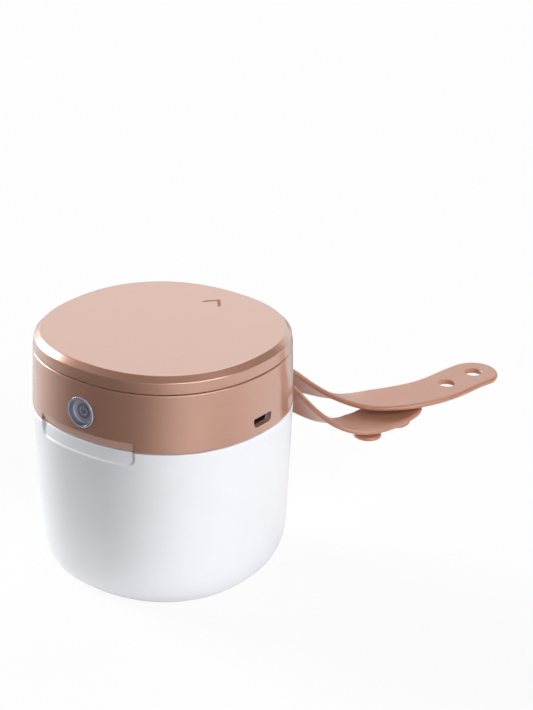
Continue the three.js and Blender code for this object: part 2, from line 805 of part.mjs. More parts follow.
// Battery hung from the cap by a foam pad, with a plug on the board and two leads between them.
const batteryTop = () => cap_underside - battery_pad_thickness - 2 * seat_gap;
const batteryBottom = () => batteryTop() - battery_thickness;

function plugPlace() {
  return [-battery_length / 2 - plug_width / 2, 0];
}

function batteryPlug() {
  const [x, y] = plugPlace();
  return block(
    [x - plug_width / 2, y - plug_length / 2, board_top + seat_gap],
    [x + plug_width / 2, y + plug_length / 2, board_top + seat_gap + plug_height],
  );
}

// Lead from the battery's left end, out and down into the top of the plug.
function batteryLead(side) {
  const [x] = plugPlace();
  const y = (side * lead_pitch) / 2;
  const level = (batteryTop() + batteryBottom()) / 2;
  const plugTop = board_top + seat_gap + plug_height;
  const start = -battery_length / 2 - slip_gap;
  const bulge = x - plug_width;
  const path = new THREE.CatmullRomCurve3([
    new THREE.Vector3(start, y, level),
    new THREE.Vector3(start - 2 * lead_radius, y, level),
    new THREE.Vector3(bulge, y, (level + plugTop) / 2),
    new THREE.Vector3(x, y, plugTop + 2 * lead_radius + slip_gap),
    new THREE.Vector3(x, y, plugTop + slip_gap),
  ], false, "centripetal");
  const section = new THREE.Shape();
  section.absarc(0, 0, lead_radius, 0, 2 * Math.PI);
  return solid(new THREE.ExtrudeGeometry(section, {
    steps: lead_steps, extrudePath: path, curveSegments: lead_sides / 2, bevelEnabled: false,
  }));
}

// Frames along one arm of the strap, from the pin outward: place, edge direction, face direction and width.
function armFrames(length, headings, climbs, twist, widen, rootSide) {
  const spline = (values) =>
    new THREE.SplineCurve(values.map((value, i) => new THREE.Vector2(i / (values.length - 1), value)));
  const [headingAt, climbAt] = [spline(headings), spline(climbs)];
  const tipRadius = strap_width / 2;
  const places = [];
  for (let i = 0; i < arm_steps; i++) places.push((i / arm_steps) * (length - tipRadius));
  for (let i = 0; i <= tip_steps; i++) {
    places.push(length - tipRadius + tipRadius * tip_end_share * Math.sin(((i / tip_steps) * Math.PI) / 2));
  }
  const direction = (share) => {
    const heading = degrees(headingAt.getPoint(share).y);
    const climb = degrees(climbAt.getPoint(share).y);
    return {
      forward: new THREE.Vector3(
        Math.cos(heading) * Math.cos(climb), Math.sin(heading) * Math.cos(climb), Math.sin(climb),
      ),
      right: new THREE.Vector3(Math.sin(heading), -Math.cos(heading), 0),
    };
  };
  const foldRadius = strap_pin_radius + running_gap + seat_gap + strap_thickness / 2;
  const place = new THREE.Vector3(0, strap_pin_y, strap_level)
    .addScaledVector(direction(0).right, -rootSide * foldRadius);
  let reached = 0;
  return places.map((target) => {
    const parts = 4;
    for (let i = 0; i < parts && target > reached; i++) {
      const share = (reached + ((target - reached) * (i + 1 / 2)) / parts) / length;
      place.addScaledVector(direction(share).forward, (target - reached) / parts);
    }
    reached = target;
    const share = target / length;
    const { forward, right } = direction(share);
    const up = new THREE.Vector3().crossVectors(right, forward);
    const roll = (Math.PI / 2) * (1 - between(share, ...twist));
    const edge = right.clone().multiplyScalar(Math.cos(roll)).addScaledVector(up, Math.sin(roll));
    const full = strap_neck + (strap_width - strap_neck) * between(share, ...widen);
    const past = Math.max(0, target - (length - tipRadius)) / tipRadius;
    const taper = Math.sqrt(1 - past * past);
    return {
      place: place.clone(),
      edge,
      face: new THREE.Vector3().crossVectors(edge, forward),
      width: full * taper,
      thickness: strap_thickness * Math.min(1, taper * 2),
    };
  });
}

// Fold of the strap round its pin, from the short arm's root to the long arm's.
function foldFrames() {
  const radius = strap_pin_radius + running_gap + seat_gap + strap_thickness / 2;
  const from = degrees(short_heading[0]) - Math.PI / 2;
  const to = degrees(long_heading[0]) - (3 * Math.PI) / 2;
  const frames = [];
  for (let i = 1; i < loop_steps; i++) {
    const angle = from + ((to - from) * i) / loop_steps;
    const outward = new THREE.Vector3(Math.cos(angle), Math.sin(angle), 0);
    frames.push({
      place: new THREE.Vector3(0, strap_pin_y, strap_level).addScaledVector(outward, radius),
      edge: new THREE.Vector3(0, 0, 1),
      face: outward,
      width: strap_neck,
      thickness: strap_thickness,
    });
  }
  return frames;
}

// Section of the strap: a flat bar with round edges.
function strapSection({ place, edge, face, width, thickness }) {
  const half = thickness / 2;
  const reach = Math.max(width / 2 - half, half / 4);
  const round = [-2, -1, 0, 1, 2].map((quarter) => (quarter * Math.PI) / 4);
  const outline = [
    ...round.map((angle) => [reach + half * Math.cos(angle), half * Math.sin(angle)]),
    ...round.map((angle) => [-reach - half * Math.cos(angle), -half * Math.sin(angle)]),
  ];
  return outline.map(([along, across]) => (
    place.clone().addScaledVector(edge, along).addScaledVector(face, across)
  ));
}

// Skins a list of equal rings into one closed body.
function loft(rings) {
  const count = rings[0].length;
  const positions = rings.flat().flatMap((point) => point.toArray());
  const index = [];
  for (let r = 0; r + 1 < rings.length; r++) {
    for (let i = 0; i < count; i++) {
      const [a, b] = [r * count + i, r * count + ((i + 1) % count)];
      index.push(a, b, b + count, a, b + count, a + count);
    }
  }
  for (const [ring, order] of [[0, [0, 2, 1]], [rings.length - 1, [0, 1, 2]]]) {
    const middle = positions.length / 3;
    const sum = rings[ring].reduce((total, point) => total.add(point), new THREE.Vector3());
    const centre = sum.divideScalar(count);
    positions.push(...centre.toArray());
    for (let i = 0; i < count; i++) {
      const corner = [middle, ring * count + i, ring * count + ((i + 1) % count)];
      index.push(corner[order[0]], corner[order[1]], corner[order[2]]);
    }
  }
  const geometry = new THREE.BufferGeometry();
  geometry.setAttribute("position", new THREE.Float32BufferAttribute(positions, 3));
  geometry.setIndex(index);
  return solid(geometry);
}

// Frame at a distance from an arm's tip, found between the two nearest stations.
function frameFromTip(frames, distance) {
  let left = distance;
  for (let i = frames.length - 1; i > 0; i--) {
    const step = frames[i].place.distanceTo(frames[i - 1].place);
    if (step >= left) {
      const share = left / step;
      return {
        place: frames[i].place.clone().lerp(frames[i - 1].place, share),
        face: frames[i].face.clone().lerp(frames[i - 1].face, share).normalize(),
      };
    }
    left -= step;
  }
  return frames[0];
}

// Places a body turned about +Y so that +Y lies along a direction.
function turnedAlong(points, place, direction, sides) {
  const profile = points.map(([radius, along]) => new THREE.Vector2(radius, along));
  const geometry = new THREE.LatheGeometry(profile, sides);
  geometry.applyQuaternion(new THREE.Quaternion().setFromUnitVectors(new THREE.Vector3(0, 1, 0), direction));
  return solid(geometry.translate(place.x, place.y, place.z));
}

// Strap: both arms and the fold in one skin, two holes in the long arm and two pegs under the short one.
function strap() {
  const long = armFrames(
    long_arm_length, long_heading, long_climb, long_twist_shares, long_widen_shares, 1,
  );
  const short = armFrames(
    short_arm_length, short_heading, short_climb, short_twist_shares, short_widen_shares, -1,
  );
  const shortTurned = short.map((frame) => ({ ...frame, face: frame.face.clone().negate() })).reverse();
  let body = loft([...shortTurned, ...foldFrames(), ...long].map(strapSection));
  for (const distance of [first_hole_distance, first_hole_distance + hole_pitch]) {
    const { place, face } = frameFromTip(long, distance);
    const from = place.clone().addScaledVector(face, -overrun).toArray();
    const to = place.clone().addScaledVector(face, overrun).toArray();
    body = cut(body, rod(hole_radius, from, to, small_sides));
    const peg = frameFromTip(short, distance);
    const down = peg.face.clone().multiplyScalar(Math.sign(-peg.face.z));
    const root = strap_thickness / 4;
    const shoulder = strap_thickness / 2 + peg_neck_length;
    body = join(body, turnedAlong([
      [0, root],
      [peg_neck_radius, root],
      [peg_neck_radius, shoulder],
      [peg_head_radius, shoulder],
      [peg_head_radius, shoulder + peg_head_height / 3],
      [peg_neck_radius, shoulder + peg_head_height],
      [0, shoulder + peg_head_height],
    ], peg.place, down, small_sides));
  }
  return body;
}

const model = new THREE.Group();

function add(name, body, material) {
  const mesh = new THREE.Mesh(geometryOf(body), material);
  mesh.name = name;
  model.add(mesh);
}

// Pot and what it carries.
add("pot_shell", potShell(), materials.white);
add("chamber_liner", linerBowl(), materials.bright);
add("foot_pad", softDisc(pad_half, 0, pad_thickness), materials.rubber);
const potMagnetTop = rim_top - rim_ledge_depth - slip_gap;
add("pot_magnet", magnetBar(pot_magnet_half, potMagnetTop - magnet_height, potMagnetTop), materials.steel);
add("strap_pin", rod(
  strap_pin_radius,
  [0, strap_pin_y, low_ear_bottom + seat_gap],
  [0, strap_pin_y, ear_top - blind_share * ear_thickness - seat_gap],
), materials.steel);
const pinHalf = knuckle_length / 2 + slip_gap + side_knuckle_length;
add("hinge_pin", rod(
  hinge_pin_radius, [-pinHalf, hinge_y, hinge_z], [pinHalf, hinge_y, hinge_z],
), materials.steel);

// Lid housings.
add("lid_band", lidBand(), materials.blush);
add("top_cap", topCap(), materials.blush);
add("inner_cover", innerCover(), materials.white);
const sealInner = liner_mouth_half + seal_inset;
add("rim_seal", softRing(
  sealInner, sealInner + seal_width,
  cover_bottom + cover_thickness / 2 - seat_gap - seal_height, cover_bottom + cover_thickness / 2 - seat_gap,
), materials.rubber);
const lidMagnetBottom = cover_bottom + 3 * seat_gap;
add("lid_magnet", magnetBar(
  lid_magnet_half, lidMagnetBottom, lidMagnetBottom + magnet_height,
), materials.steel);
cornerPlaces().forEach(([x, y], i) => add(`cover_screw_${i + 1}`, coverScrew(x, y), materials.steel));

// Lamps and their window.
const windowBottom = cover_bottom + cover_thickness / 2 + seat_gap;
add("lamp_window", rod(
  window_radius, [0, 0, windowBottom], [0, 0, windowBottom + window_thickness],
), materials.glass);
add("window_gasket", roundRing(
  window_radius - gasket_wall, window_radius,
  windowBottom + window_thickness + seat_gap, board_bottom - seat_gap,
), materials.rubber);
[-1, 1].forEach((side, i) => {
  const x = (side * lamp_spread) / 2;
  const top = board_bottom - seat_gap;
  add(`uv_lamp_${i + 1}`, block(
    [x - lamp_size / 2, -lamp_size / 2, top - lamp_height], [x + lamp_size / 2, lamp_size / 2, top],
  ), materials.lamp);
});

// Board and what is on it.
add("main_board", mainBoard(), materials.board);
add("lid_sensor", block(
  [magnet_length, -board_half, board_bottom - seat_gap - sensor_height],
  [magnet_length + sensor_length, -board_half + sensor_width, board_bottom - seat_gap],
), materials.black);
add("socket_shell", socketShell(), materials.steel);
add("socket_tongue", socketTongue(), materials.black);
add("switch_body", switchBody(), materials.black);
add("switch_plunger", switchPlunger(), materials.white);
[-1, 1].forEach((side, i) => add(`status_lamp_${i + 1}`, statusLamp(side), materials.lamp));

// Button.
add("power_button", powerButton(), materials.smoke);
add("light_ring", lightRing(), materials.smoke);

// Battery.
add("battery_cell", plate(
  roundedRectangle(battery_length, battery_width, battery_corner), batteryBottom(), batteryTop(),
), materials.foil);
add("battery_pad", plate(
  roundedRectangle(battery_length - 2 * battery_corner, battery_width - 2 * battery_corner, battery_corner),
  batteryTop() + seat_gap, cap_underside - seat_gap,
), materials.foam);
add("battery_plug", batteryPlug(), materials.white);
add("battery_lead_red", batteryLead(1), materials.redLead);
add("battery_lead_black", batteryLead(-1), materials.blackLead);

// Strap.
add("strap", strap(), materials.strap);

export default model;
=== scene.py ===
# Portable pacifier sterilizer case: a white pot, a pearl blush lid hinged at the back, and a silicone
# carrying strap. Metres, +Z up. The push button faces -Y, the charge socket +X, and the hinge is at +Y.

import json

import bmesh
import bpy
import numpy as np
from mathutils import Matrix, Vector


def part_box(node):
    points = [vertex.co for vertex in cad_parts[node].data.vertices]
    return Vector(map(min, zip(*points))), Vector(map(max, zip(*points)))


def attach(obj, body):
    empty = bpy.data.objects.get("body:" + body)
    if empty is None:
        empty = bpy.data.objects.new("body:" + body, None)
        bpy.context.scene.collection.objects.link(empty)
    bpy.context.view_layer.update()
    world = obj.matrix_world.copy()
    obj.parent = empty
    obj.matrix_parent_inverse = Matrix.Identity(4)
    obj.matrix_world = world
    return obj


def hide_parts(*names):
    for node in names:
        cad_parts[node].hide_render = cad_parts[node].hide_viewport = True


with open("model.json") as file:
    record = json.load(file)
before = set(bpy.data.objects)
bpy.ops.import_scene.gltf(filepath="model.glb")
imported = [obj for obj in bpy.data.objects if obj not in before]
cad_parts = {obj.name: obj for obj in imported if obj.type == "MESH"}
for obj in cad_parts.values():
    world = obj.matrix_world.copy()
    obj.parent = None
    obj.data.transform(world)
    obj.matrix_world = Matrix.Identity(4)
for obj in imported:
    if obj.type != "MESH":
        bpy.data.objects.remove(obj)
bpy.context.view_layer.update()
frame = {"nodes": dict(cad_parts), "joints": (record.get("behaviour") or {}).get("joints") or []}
nodes = frame["nodes"]
mm = 0.001


# Camera.
# A portrait lens at the height and side that the photograph was taken from. The frame is shifted so that
# the case stands left of the middle, with the strap's free ends on the right.
image_width, image_height = 533, 710
focal_pixels = 2341
look_at_column = 163
camera_azimuth, camera_elevation = np.radians(39.43), np.radians(23.29)
camera_distance = 741.4 * mm
look_below_top = 9.85 * mm
look_at = Vector((0, 0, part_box("top_cap")[1].z - look_below_top))
view_side = Vector((
    np.sin(camera_azimuth) * np.cos(camera_elevation),
    -np.cos(camera_azimuth) * np.cos(camera_elevation),
    np.sin(camera_elevation),
))
sensor_size = 36
camera_data = bpy.data.cameras.new("camera")
camera_data.sensor_width = sensor_size
camera_data.lens = focal_pixels / image_height * sensor_size
camera_data.shift_x = (image_width / 2 - look_at_column) / image_height
camera_data.clip_start = 50 * mm
camera = bpy.data.objects.new("camera", camera_data)
camera.location = look_at + camera_distance * view_side
camera.rotation_euler = (-view_side).to_track_quat("-Z", "Y").to_euler()
bpy.context.scene.collection.objects.link(camera)
bpy.context.scene.camera = camera
bpy.context.scene.view_settings.view_transform = "Standard"


# Studio.
# A white room lit by soft panels far away: a bright strip on the left, wide ones on the right and in
# front, and dim ones above and behind. The floor is pale and matt, and keeps the shadow of the case.
# For the light on the pieces it is painted dark in front and behind: painted shade for the room's dark
# sides, which the pieces mirror.
def srgb(code):
    """Linear colour with alpha 1 from an sRGB hex code: c/12.92 below 0.04045, else ((c+0.055)/1.055)^2.4."""
    channel = np.array([int(code[i:i + 2], 16) for i in (1, 3, 5)]) / 255
    linear = np.where(channel <= 0.04045, channel / 12.92, ((channel + 0.055) / 1.055) ** 2.4)
    return (*linear.tolist(), 1.0)


def add_node(tree, kind, settings=None, **links):
    """Adds a node, sets its fields, then each input, by name or as i0 by number: to a value or a link."""
    node = tree.nodes.new(kind)
    for field, value in (settings or {}).items():
        setattr(node, field, value)
    for name, value in links.items():
        numbered = name[0] == "i" and name[1:].isdigit()
        socket = node.inputs[int(name[1:]) if numbered else name.replace("_", " ")]
        if isinstance(value, bpy.types.NodeSocket):
            tree.links.new(value, socket)
        else:
            socket.default_value = value
    return node


def turned_from(tree, towards, azimuth):
    """Angle in radians between a direction seen from above and an azimuth in degrees, which counts from
    -Y towards +X: |wrap(atan2(x, -y) - azimuth)|."""
    split = add_node(tree, "ShaderNodeSeparateXYZ", Vector=towards)
    ahead = add_node(tree, "ShaderNodeMath", {"operation": "MULTIPLY"}, i0=split.outputs["Y"], i1=-1.0)
    found = add_node(tree, "ShaderNodeMath", {"operation": "ARCTAN2"}, i0=split.outputs["X"],
                     i1=ahead.outputs[0])
    away = add_node(tree, "ShaderNodeMath", {"operation": "SUBTRACT"}, i0=found.outputs[0],
                    i1=np.radians(azimuth))
    wrapped = add_node(tree, "ShaderNodeMath", {"operation": "WRAP"}, i0=away.outputs[0], i1=np.pi,
                       i2=-np.pi)
    return add_node(tree, "ShaderNodeMath", {"operation": "ABSOLUTE"}, i0=wrapped.outputs[0]).outputs[0]


def seen_directly(tree):
    """1 for rays from the camera, straight or through clear pieces, and 0 for the light on the pieces."""
    ray = add_node(tree, "ShaderNodeLightPath")
    return add_node(tree, "ShaderNodeMath", {"operation": "MAXIMUM"}, i0=ray.outputs["Is Camera Ray"],
                    i1=ray.outputs["Is Transmission Ray"]).outputs[0]


world = bpy.data.worlds.new("room")
bpy.context.scene.world = world
world.use_nodes = True
room = world.node_tree
room.nodes.clear()
outlook = add_node(room, "ShaderNodeTexCoord").outputs["Generated"]
upward = add_node(room, "ShaderNodeSeparateXYZ", Vector=outlook).outputs["Z"]
elevation = add_node(room, "ShaderNodeMath", {"operation": "ARCSINE"}, i0=upward).outputs[0]
past_all = 199


def panel(strength, azimuth=0, half_width=past_all, low=-past_all, high=past_all, fade=8):
    """Soft-edged panel of light far away, in degrees: smoothsteps of the azimuth and of the elevation,
    multiplied. A limit that isn't given is past every direction."""
    share = strength
    aside = turned_from(room, outlook, azimuth)
    for value, limit, sign in ((aside, half_width, 1), (elevation, high, 1), (elevation, low, -1)):
        step = add_node(room, "ShaderNodeMapRange", {"interpolation_type": "SMOOTHSTEP"}, Value=value,
                        From_Min=np.radians(limit - sign * fade), From_Max=np.radians(limit + sign * fade),
                        To_Min=1.0, To_Max=0.0)
        share = add_node(room, "ShaderNodeMath", {"operation": "MULTIPLY"}, i0=share,
                         i1=step.outputs[0]).outputs[0]
    return share


left_strip = panel(18.5, azimuth=-85, half_width=13, high=32, fade=2)
back_panel = panel(2.0, azimuth=-160, half_width=35, low=38, high=65)
right_panel = panel(5.3, azimuth=78, half_width=34, low=18, high=44)
front_panel = panel(1.6, azimuth=52, half_width=54, high=10)
top_panel = panel(0.5, low=76)
backdrop = panel(1.1, azimuth=-145, half_width=45, high=40)
mirrored = add_node(room, "ShaderNodeLightPath").outputs["Is Glossy Ray"]
light = add_node(room, "ShaderNodeMath", {"operation": "MULTIPLY"}, i0=backdrop, i1=mirrored).outputs[0]
for more in (left_strip, back_panel, right_panel, front_panel, top_panel):
    light = add_node(room, "ShaderNodeMath", {"operation": "ADD"}, i0=light, i1=more).outputs[0]
lit = add_node(room, "ShaderNodeBackground", Color=srgb("#ffffff"), Strength=light)
white = add_node(room, "ShaderNodeBackground", Color=srgb("#ffffff"), Strength=1.0)
mixed = add_node(room, "ShaderNodeMixShader", Fac=seen_directly(room), i1=lit.outputs[0],
                 i2=white.outputs[0])
add_node(room, "ShaderNodeOutputWorld", Surface=mixed.outputs[0])


def new_material(name):
    """Empty material, its node tree, and the place in the piece that its patterns are laid out by."""
    material = bpy.data.materials.new(name)
    material.use_nodes = True
    material.node_tree.nodes.clear()
    place = add_node(material.node_tree, "ShaderNodeTexCoord").outputs["Object"]
    return material, material.node_tree, place


floor_size, floor_glow, rear_shade = 8.0, 0.9, 0.5
shade_near, shade_far = 50 * mm, 110 * mm
bpy.ops.mesh.primitive_plane_add(size=floor_size)
floor = bpy.context.object
floor.name = "floor"
floor_material, tree, place = new_material("pale floor")


def wedge(azimuth, full, none):
    """Share of the floor's painted shade by direction, in degrees: all of it up to one angle from the
    azimuth, none past the other. Only the light on the pieces meets this painted shade; the camera sees the
    floor pale."""
    return add_node(tree, "ShaderNodeMapRange", {"interpolation_type": "SMOOTHSTEP"},
                    Value=turned_from(tree, place, azimuth), From_Min=np.radians(full),
                    From_Max=np.radians(none), To_Min=1.0, To_Max=0.0).outputs[0]


# Painted shade: the floor is darker in front of the case and behind it, for the light on the pieces only.
rear = add_node(tree, "ShaderNodeMath", {"operation": "MULTIPLY"}, i0=wedge(-150, full=20, none=45),
                i1=rear_shade)
either = add_node(tree, "ShaderNodeMath", {"operation": "MAXIMUM"}, i0=wedge(-8, full=20, none=75),
                  i1=rear.outputs[0])
reach = add_node(tree, "ShaderNodeVectorMath", {"operation": "LENGTH"}, i0=place)
past = add_node(tree, "ShaderNodeMapRange", {"interpolation_type": "SMOOTHSTEP"},
                Value=reach.outputs["Value"], From_Min=shade_near, From_Max=shade_far)
shaded = add_node(tree, "ShaderNodeMath", {"operation": "MULTIPLY"}, i0=either.outputs[0],
                  i1=past.outputs[0])
seen = seen_directly(tree)
unseen = add_node(tree, "ShaderNodeMath", {"operation": "SUBTRACT"}, i0=1.0, i1=seen)
painted_shade_share = add_node(tree, "ShaderNodeMath", {"operation": "MULTIPLY"}, i0=shaded.outputs[0],
                      i1=unseen.outputs[0])
# Painted shade: the floor's tone turns dark where the wedges reach, for the light on the pieces; the camera
# sees it pale.
floor_tone_with_painted_shade = add_node(tree, "ShaderNodeMix", {"data_type": "RGBA"}, i0=painted_shade_share.outputs[0],
                 i6=srgb("#f4f4f4"), i7=srgb("#3c3c3c"))
matt = add_node(tree, "ShaderNodeBsdfDiffuse", Color=floor_tone_with_painted_shade.outputs[2])
glow = add_node(tree, "ShaderNodeEmission", Color=srgb("#ffffff"), Strength=1.0)
glow_share = add_node(tree, "ShaderNodeMath", {"operation": "MULTIPLY"}, i0=seen, i1=floor_glow)
mixed = add_node(tree, "ShaderNodeMixShader", Fac=glow_share.outputs[0], i1=matt.outputs[0],
                 i2=glow.outputs[0])
add_node(tree, "ShaderNodeOutputMaterial", Surface=mixed.outputs[0])
floor.data.materials.append(floor_material)


# Pot shell.
# The white soft-square pot, injection moulded in ABS. Its side tapers to a long curve at the base, and the
# lower half of the finger scoop is pressed into the front of its rim.
plan_power = 2.26
seat_gap, seam_gap = 0.1 * mm, 0.3 * mm
case_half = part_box("lid_band")[1].x
rim_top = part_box("chamber_liner")[1].z + seat_gap
seam_height = rim_top + seam_gap / 2
pot_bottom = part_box("pot_shell")[0].z
pot_base_half, base_reach, base_rise = 38.7 * mm, 9 * mm, 17 * mm
pot_wall, rim_wall, ledge_depth, ledge_reach = 2.1 * mm, 2.2 * mm, 1.6 * mm, 1.2 * mm
scoop_half_width, scoop_drop, scoop_rise = 19 * mm, 5 * mm, 3 * mm
scoop_depth, scoop_corner, scoop_wall, scoop_lip_share = 0.9 * mm, 2.6 * mm, 0.9 * mm, 0.35
edge_round = 0.35 * mm
around_steps, scoop_steps = 300, 40


def plan_angles():
    """Angles round the case: even steps, with finer ones added where the scoop's ends are."""
    end = np.arctan2(-case_half, scoop_half_width)
    spread = np.radians(3.5)
    even = np.linspace(-np.pi, np.pi, around_steps, endpoint=False)
    fine = np.linspace(end - spread, end + spread, scoop_steps)
    return np.unique(np.round(np.concatenate([even, fine, -np.pi - fine]), 6))


def plan_growth(angle):
    """Rounded square: (|cos a|^n + |sin a|^n)^(-1/n) times its half width."""
    powers = np.abs(np.cos(angle)) ** plan_power + np.abs(np.sin(angle)) ** plan_power
    return powers ** (-1 / plan_power)


def soft_rings(profile, angle):
    """Grid of points: each (half width, height) of the profile becomes a ring of the rounded square."""
    half, height = np.asarray(profile, float).T
    reach = half[:, None] * plan_growth(angle)[None, :]
    return np.stack([reach * np.cos(angle), reach * np.sin(angle), height[:, None] + 0 * reach], axis=-1)


def arc(centre_half, centre_height, reach, rise, start, end, steps):
    """Quarter ellipse in a profile, between two angles in degrees."""
    turn = np.radians(np.linspace(start, end, steps + 1))
    return list(zip(centre_half + reach * np.cos(turn), centre_height + rise * np.sin(turn)))


def skin(name, grid, closed_profile=False):
    """Mesh over a grid whose rows are closed rings: quads between rows, and a fan or a loop to close it."""
    rows, columns = grid.shape[:2]
    points = grid.reshape(-1, 3)
    row = np.arange(rows if closed_profile else rows - 1)[:, None]
    column = np.arange(columns)[None, :]
    after = (column + 1) % columns
    below = (row + 1) % rows
    quads = np.stack([row * columns + column, row * columns + after, below * columns + after,
                      below * columns + column], axis=-1).reshape(-1, 4)
    faces = quads.tolist()
    if not closed_profile:
        middles = np.stack([grid[0].mean(axis=0), grid[-1].mean(axis=0)])
        first, last = len(points), len(points) + 1
        points = np.concatenate([points, middles])
        ring, following = np.arange(columns), (np.arange(columns) + 1) % columns
        faces += np.stack([np.full(columns, first), following, ring], axis=-1).tolist()
        base = (rows - 1) * columns
        faces += np.stack([np.full(columns, last), base + ring, base + following], axis=-1).tolist()
    mesh = bpy.data.meshes.new(name)
    mesh.from_pydata(points.tolist(), [], faces)
    piece = bpy.data.objects.new(name, mesh)
    bpy.context.scene.collection.objects.link(piece)
    return piece


def finish_mesh(piece, sharp_degrees=32):
    """Welds doubled points, turns the faces outwards, and shades smooth except along sharp edges."""
    work = bmesh.new()
    work.from_mesh(piece.data)
    bmesh.ops.remove_doubles(work, verts=work.verts, dist=1e-7)
    bmesh.ops.dissolve_degenerate(work, edges=work.edges, dist=1e-8)
    bmesh.ops.recalc_face_normals(work, faces=work.faces)
    work.to_mesh(piece.data)
    work.free()
    piece.data.shade_smooth()
    piece.data.set_sharp_from_angle(angle=np.radians(sharp_degrees))
    return piece


def boolean(piece, operation, *tools):
    """Cuts or joins closed meshes one after another, and removes the tools."""
    for tool in tools:
        step = piece.modifiers.new("step", "BOOLEAN")
        step.operation, step.solver, step.object = operation, "MANIFOLD", tool
        evaluated = piece.evaluated_get(bpy.context.evaluated_depsgraph_get())
        made = bpy.data.meshes.new_from_object(evaluated)
        piece.modifiers.clear()
        piece.data = made
        bpy.data.objects.remove(tool)
    return piece


def scoop_inset(x, z):
    """Depth of the finger scoop in the pot: a rounded rectangle about the seam, with sloped walls and a
    floor that leans in towards the seam."""
    beyond_x = np.abs(x) - (scoop_half_width - scoop_corner)
    beyond_z = np.abs(z - seam_height) - (scoop_drop - scoop_corner)
    outside = np.hypot(np.maximum(beyond_x, 0), np.maximum(beyond_z, 0))
    inside = np.minimum(np.maximum(beyond_x, beyond_z), 0)
    distance = scoop_corner - outside - inside
    share = np.clip(distance / scoop_wall, 0, 1)
    slope = np.clip((z - seam_height + scoop_drop) / scoop_drop, 0, 1)
    return scoop_depth * share ** 2 * (3 - 2 * share) * (scoop_lip_share + (1 - scoop_lip_share) * slope)


def press(grid, inset):
    """Moves the grid's front towards the middle by a depth that depends on x and z."""
    radius = np.hypot(grid[..., 0], grid[..., 1])
    depth = np.where(grid[..., 1] < 0, inset(grid[..., 0], grid[..., 2]), 0)
    share = np.divide(radius - depth, radius, out=np.ones_like(radius), where=radius > 0)
    grid[..., :2] *= share[..., None]
    return grid


def cylinder(name, radius, start, end, sides=64):
    """Closed round bar between two points."""
    start, end = Vector(start), Vector(end)
    turn = (end - start).to_track_quat("Z", "Y").to_matrix()
    angle = np.linspace(0, 2 * np.pi, sides, endpoint=False)
    ring = radius * np.stack([np.cos(angle), np.sin(angle), 0 * angle], axis=-1) @ np.array(turn).T
    return skin(name, np.stack([ring + np.array(start), ring + np.array(end)]))


def prism(name, outline, low, high):
    """Closed upright prism of an outline in plan, between two heights."""
    ring = np.concatenate([outline, np.zeros((len(outline), 1))], axis=1)
    return skin(name, np.stack([ring + [0, 0, low], ring + [0, 0, high]]))


def block(name, low, high):
    """Closed box between two corners."""
    low, high = np.array(low, float), np.array(high, float)
    outline = low[:2] + np.array([[0, 0], [1, 0], [1, 1], [0, 1]]) * (high - low)[:2]
    return prism(name, outline, low[2], high[2])


def side_profile(low, high, low_half, high_half, steps):
    """Straight tapered side as (half width, height) pairs."""
    share = np.linspace(0, 1, steps + 1)
    return list(zip(low_half + (high_half - low_half) * share, low + (high - low) * share))


angles = plan_angles()
base_top = pot_bottom + base_rise
shoulder = rim_top - scoop_drop - scoop_wall
lip = rim_top - edge_round
taper = (case_half - pot_base_half) / (rim_top - base_top)


def half_at(height):
    """Half width of the pot's tapered side at a height."""
    return pot_base_half + taper * (height - base_top)


outer = arc(pot_base_half - base_reach, base_top, base_reach, base_rise, -90, 0, 40)
outer += side_profile(base_top, shoulder, pot_base_half, half_at(shoulder), 8)[1:]
outer += side_profile(shoulder, lip, half_at(shoulder), half_at(lip), 36)[1:]
outer += arc(half_at(lip) - edge_round, lip, edge_round, edge_round, 0, 90, 5)[1:]
rim_inner = case_half - rim_wall
inner = [(rim_inner, rim_top), (rim_inner, rim_top - ledge_depth),
         (rim_inner - ledge_reach, rim_top - ledge_depth)]
inner += arc(pot_base_half - base_reach, base_top, base_reach - pot_wall, base_rise - pot_wall, 0, -90, 16)
pot = skin("pot_body", press(soft_rings([*outer, *inner], angles), scoop_inset))


def joint_place(name):
    """Point on a hinge's axis, in metres."""
    return np.array(next(joint for joint in frame["joints"] if joint["name"] == name)["pos_m"])


hinge_y, hinge_z = joint_place("lid_hinge")[1:]
strap_y = joint_place("strap_swing")[1]
pin_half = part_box("hinge_pin")[1].x
knuckle_radius, knuckle_relief, knuckle_half = 2.3 * mm, 0.4 * mm, 6.2 * mm
hinge_pin_radius, strap_pin_radius, running_gap = 1 * mm, 1.5 * mm, 0.12 * mm
ear_thickness, ear_radius = 1.7 * mm, 3 * mm
low_ear_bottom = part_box("strap_pin")[0].z - seat_gap
root_y = case_half - pot_wall + seat_gap
relief_half = pin_half + seam_gap


def along_hinge(name, radius, low_x, high_x):
    """Bar on the hinge's axis between two places along X."""
    return cylinder(name, radius, (low_x, hinge_y, hinge_z), (high_x, hinge_y, hinge_z))


def ear(name, low, high):
    """Half-round ear that reaches from the pot's wall round the strap's pin."""
    turn = np.linspace(0, np.pi, 25)
    bend = np.stack([ear_radius * np.cos(turn), strap_y + ear_radius * np.sin(turn)], axis=-1)
    return prism(name, np.array([[ear_radius, root_y], *bend, [-ear_radius, root_y]]), low, high)


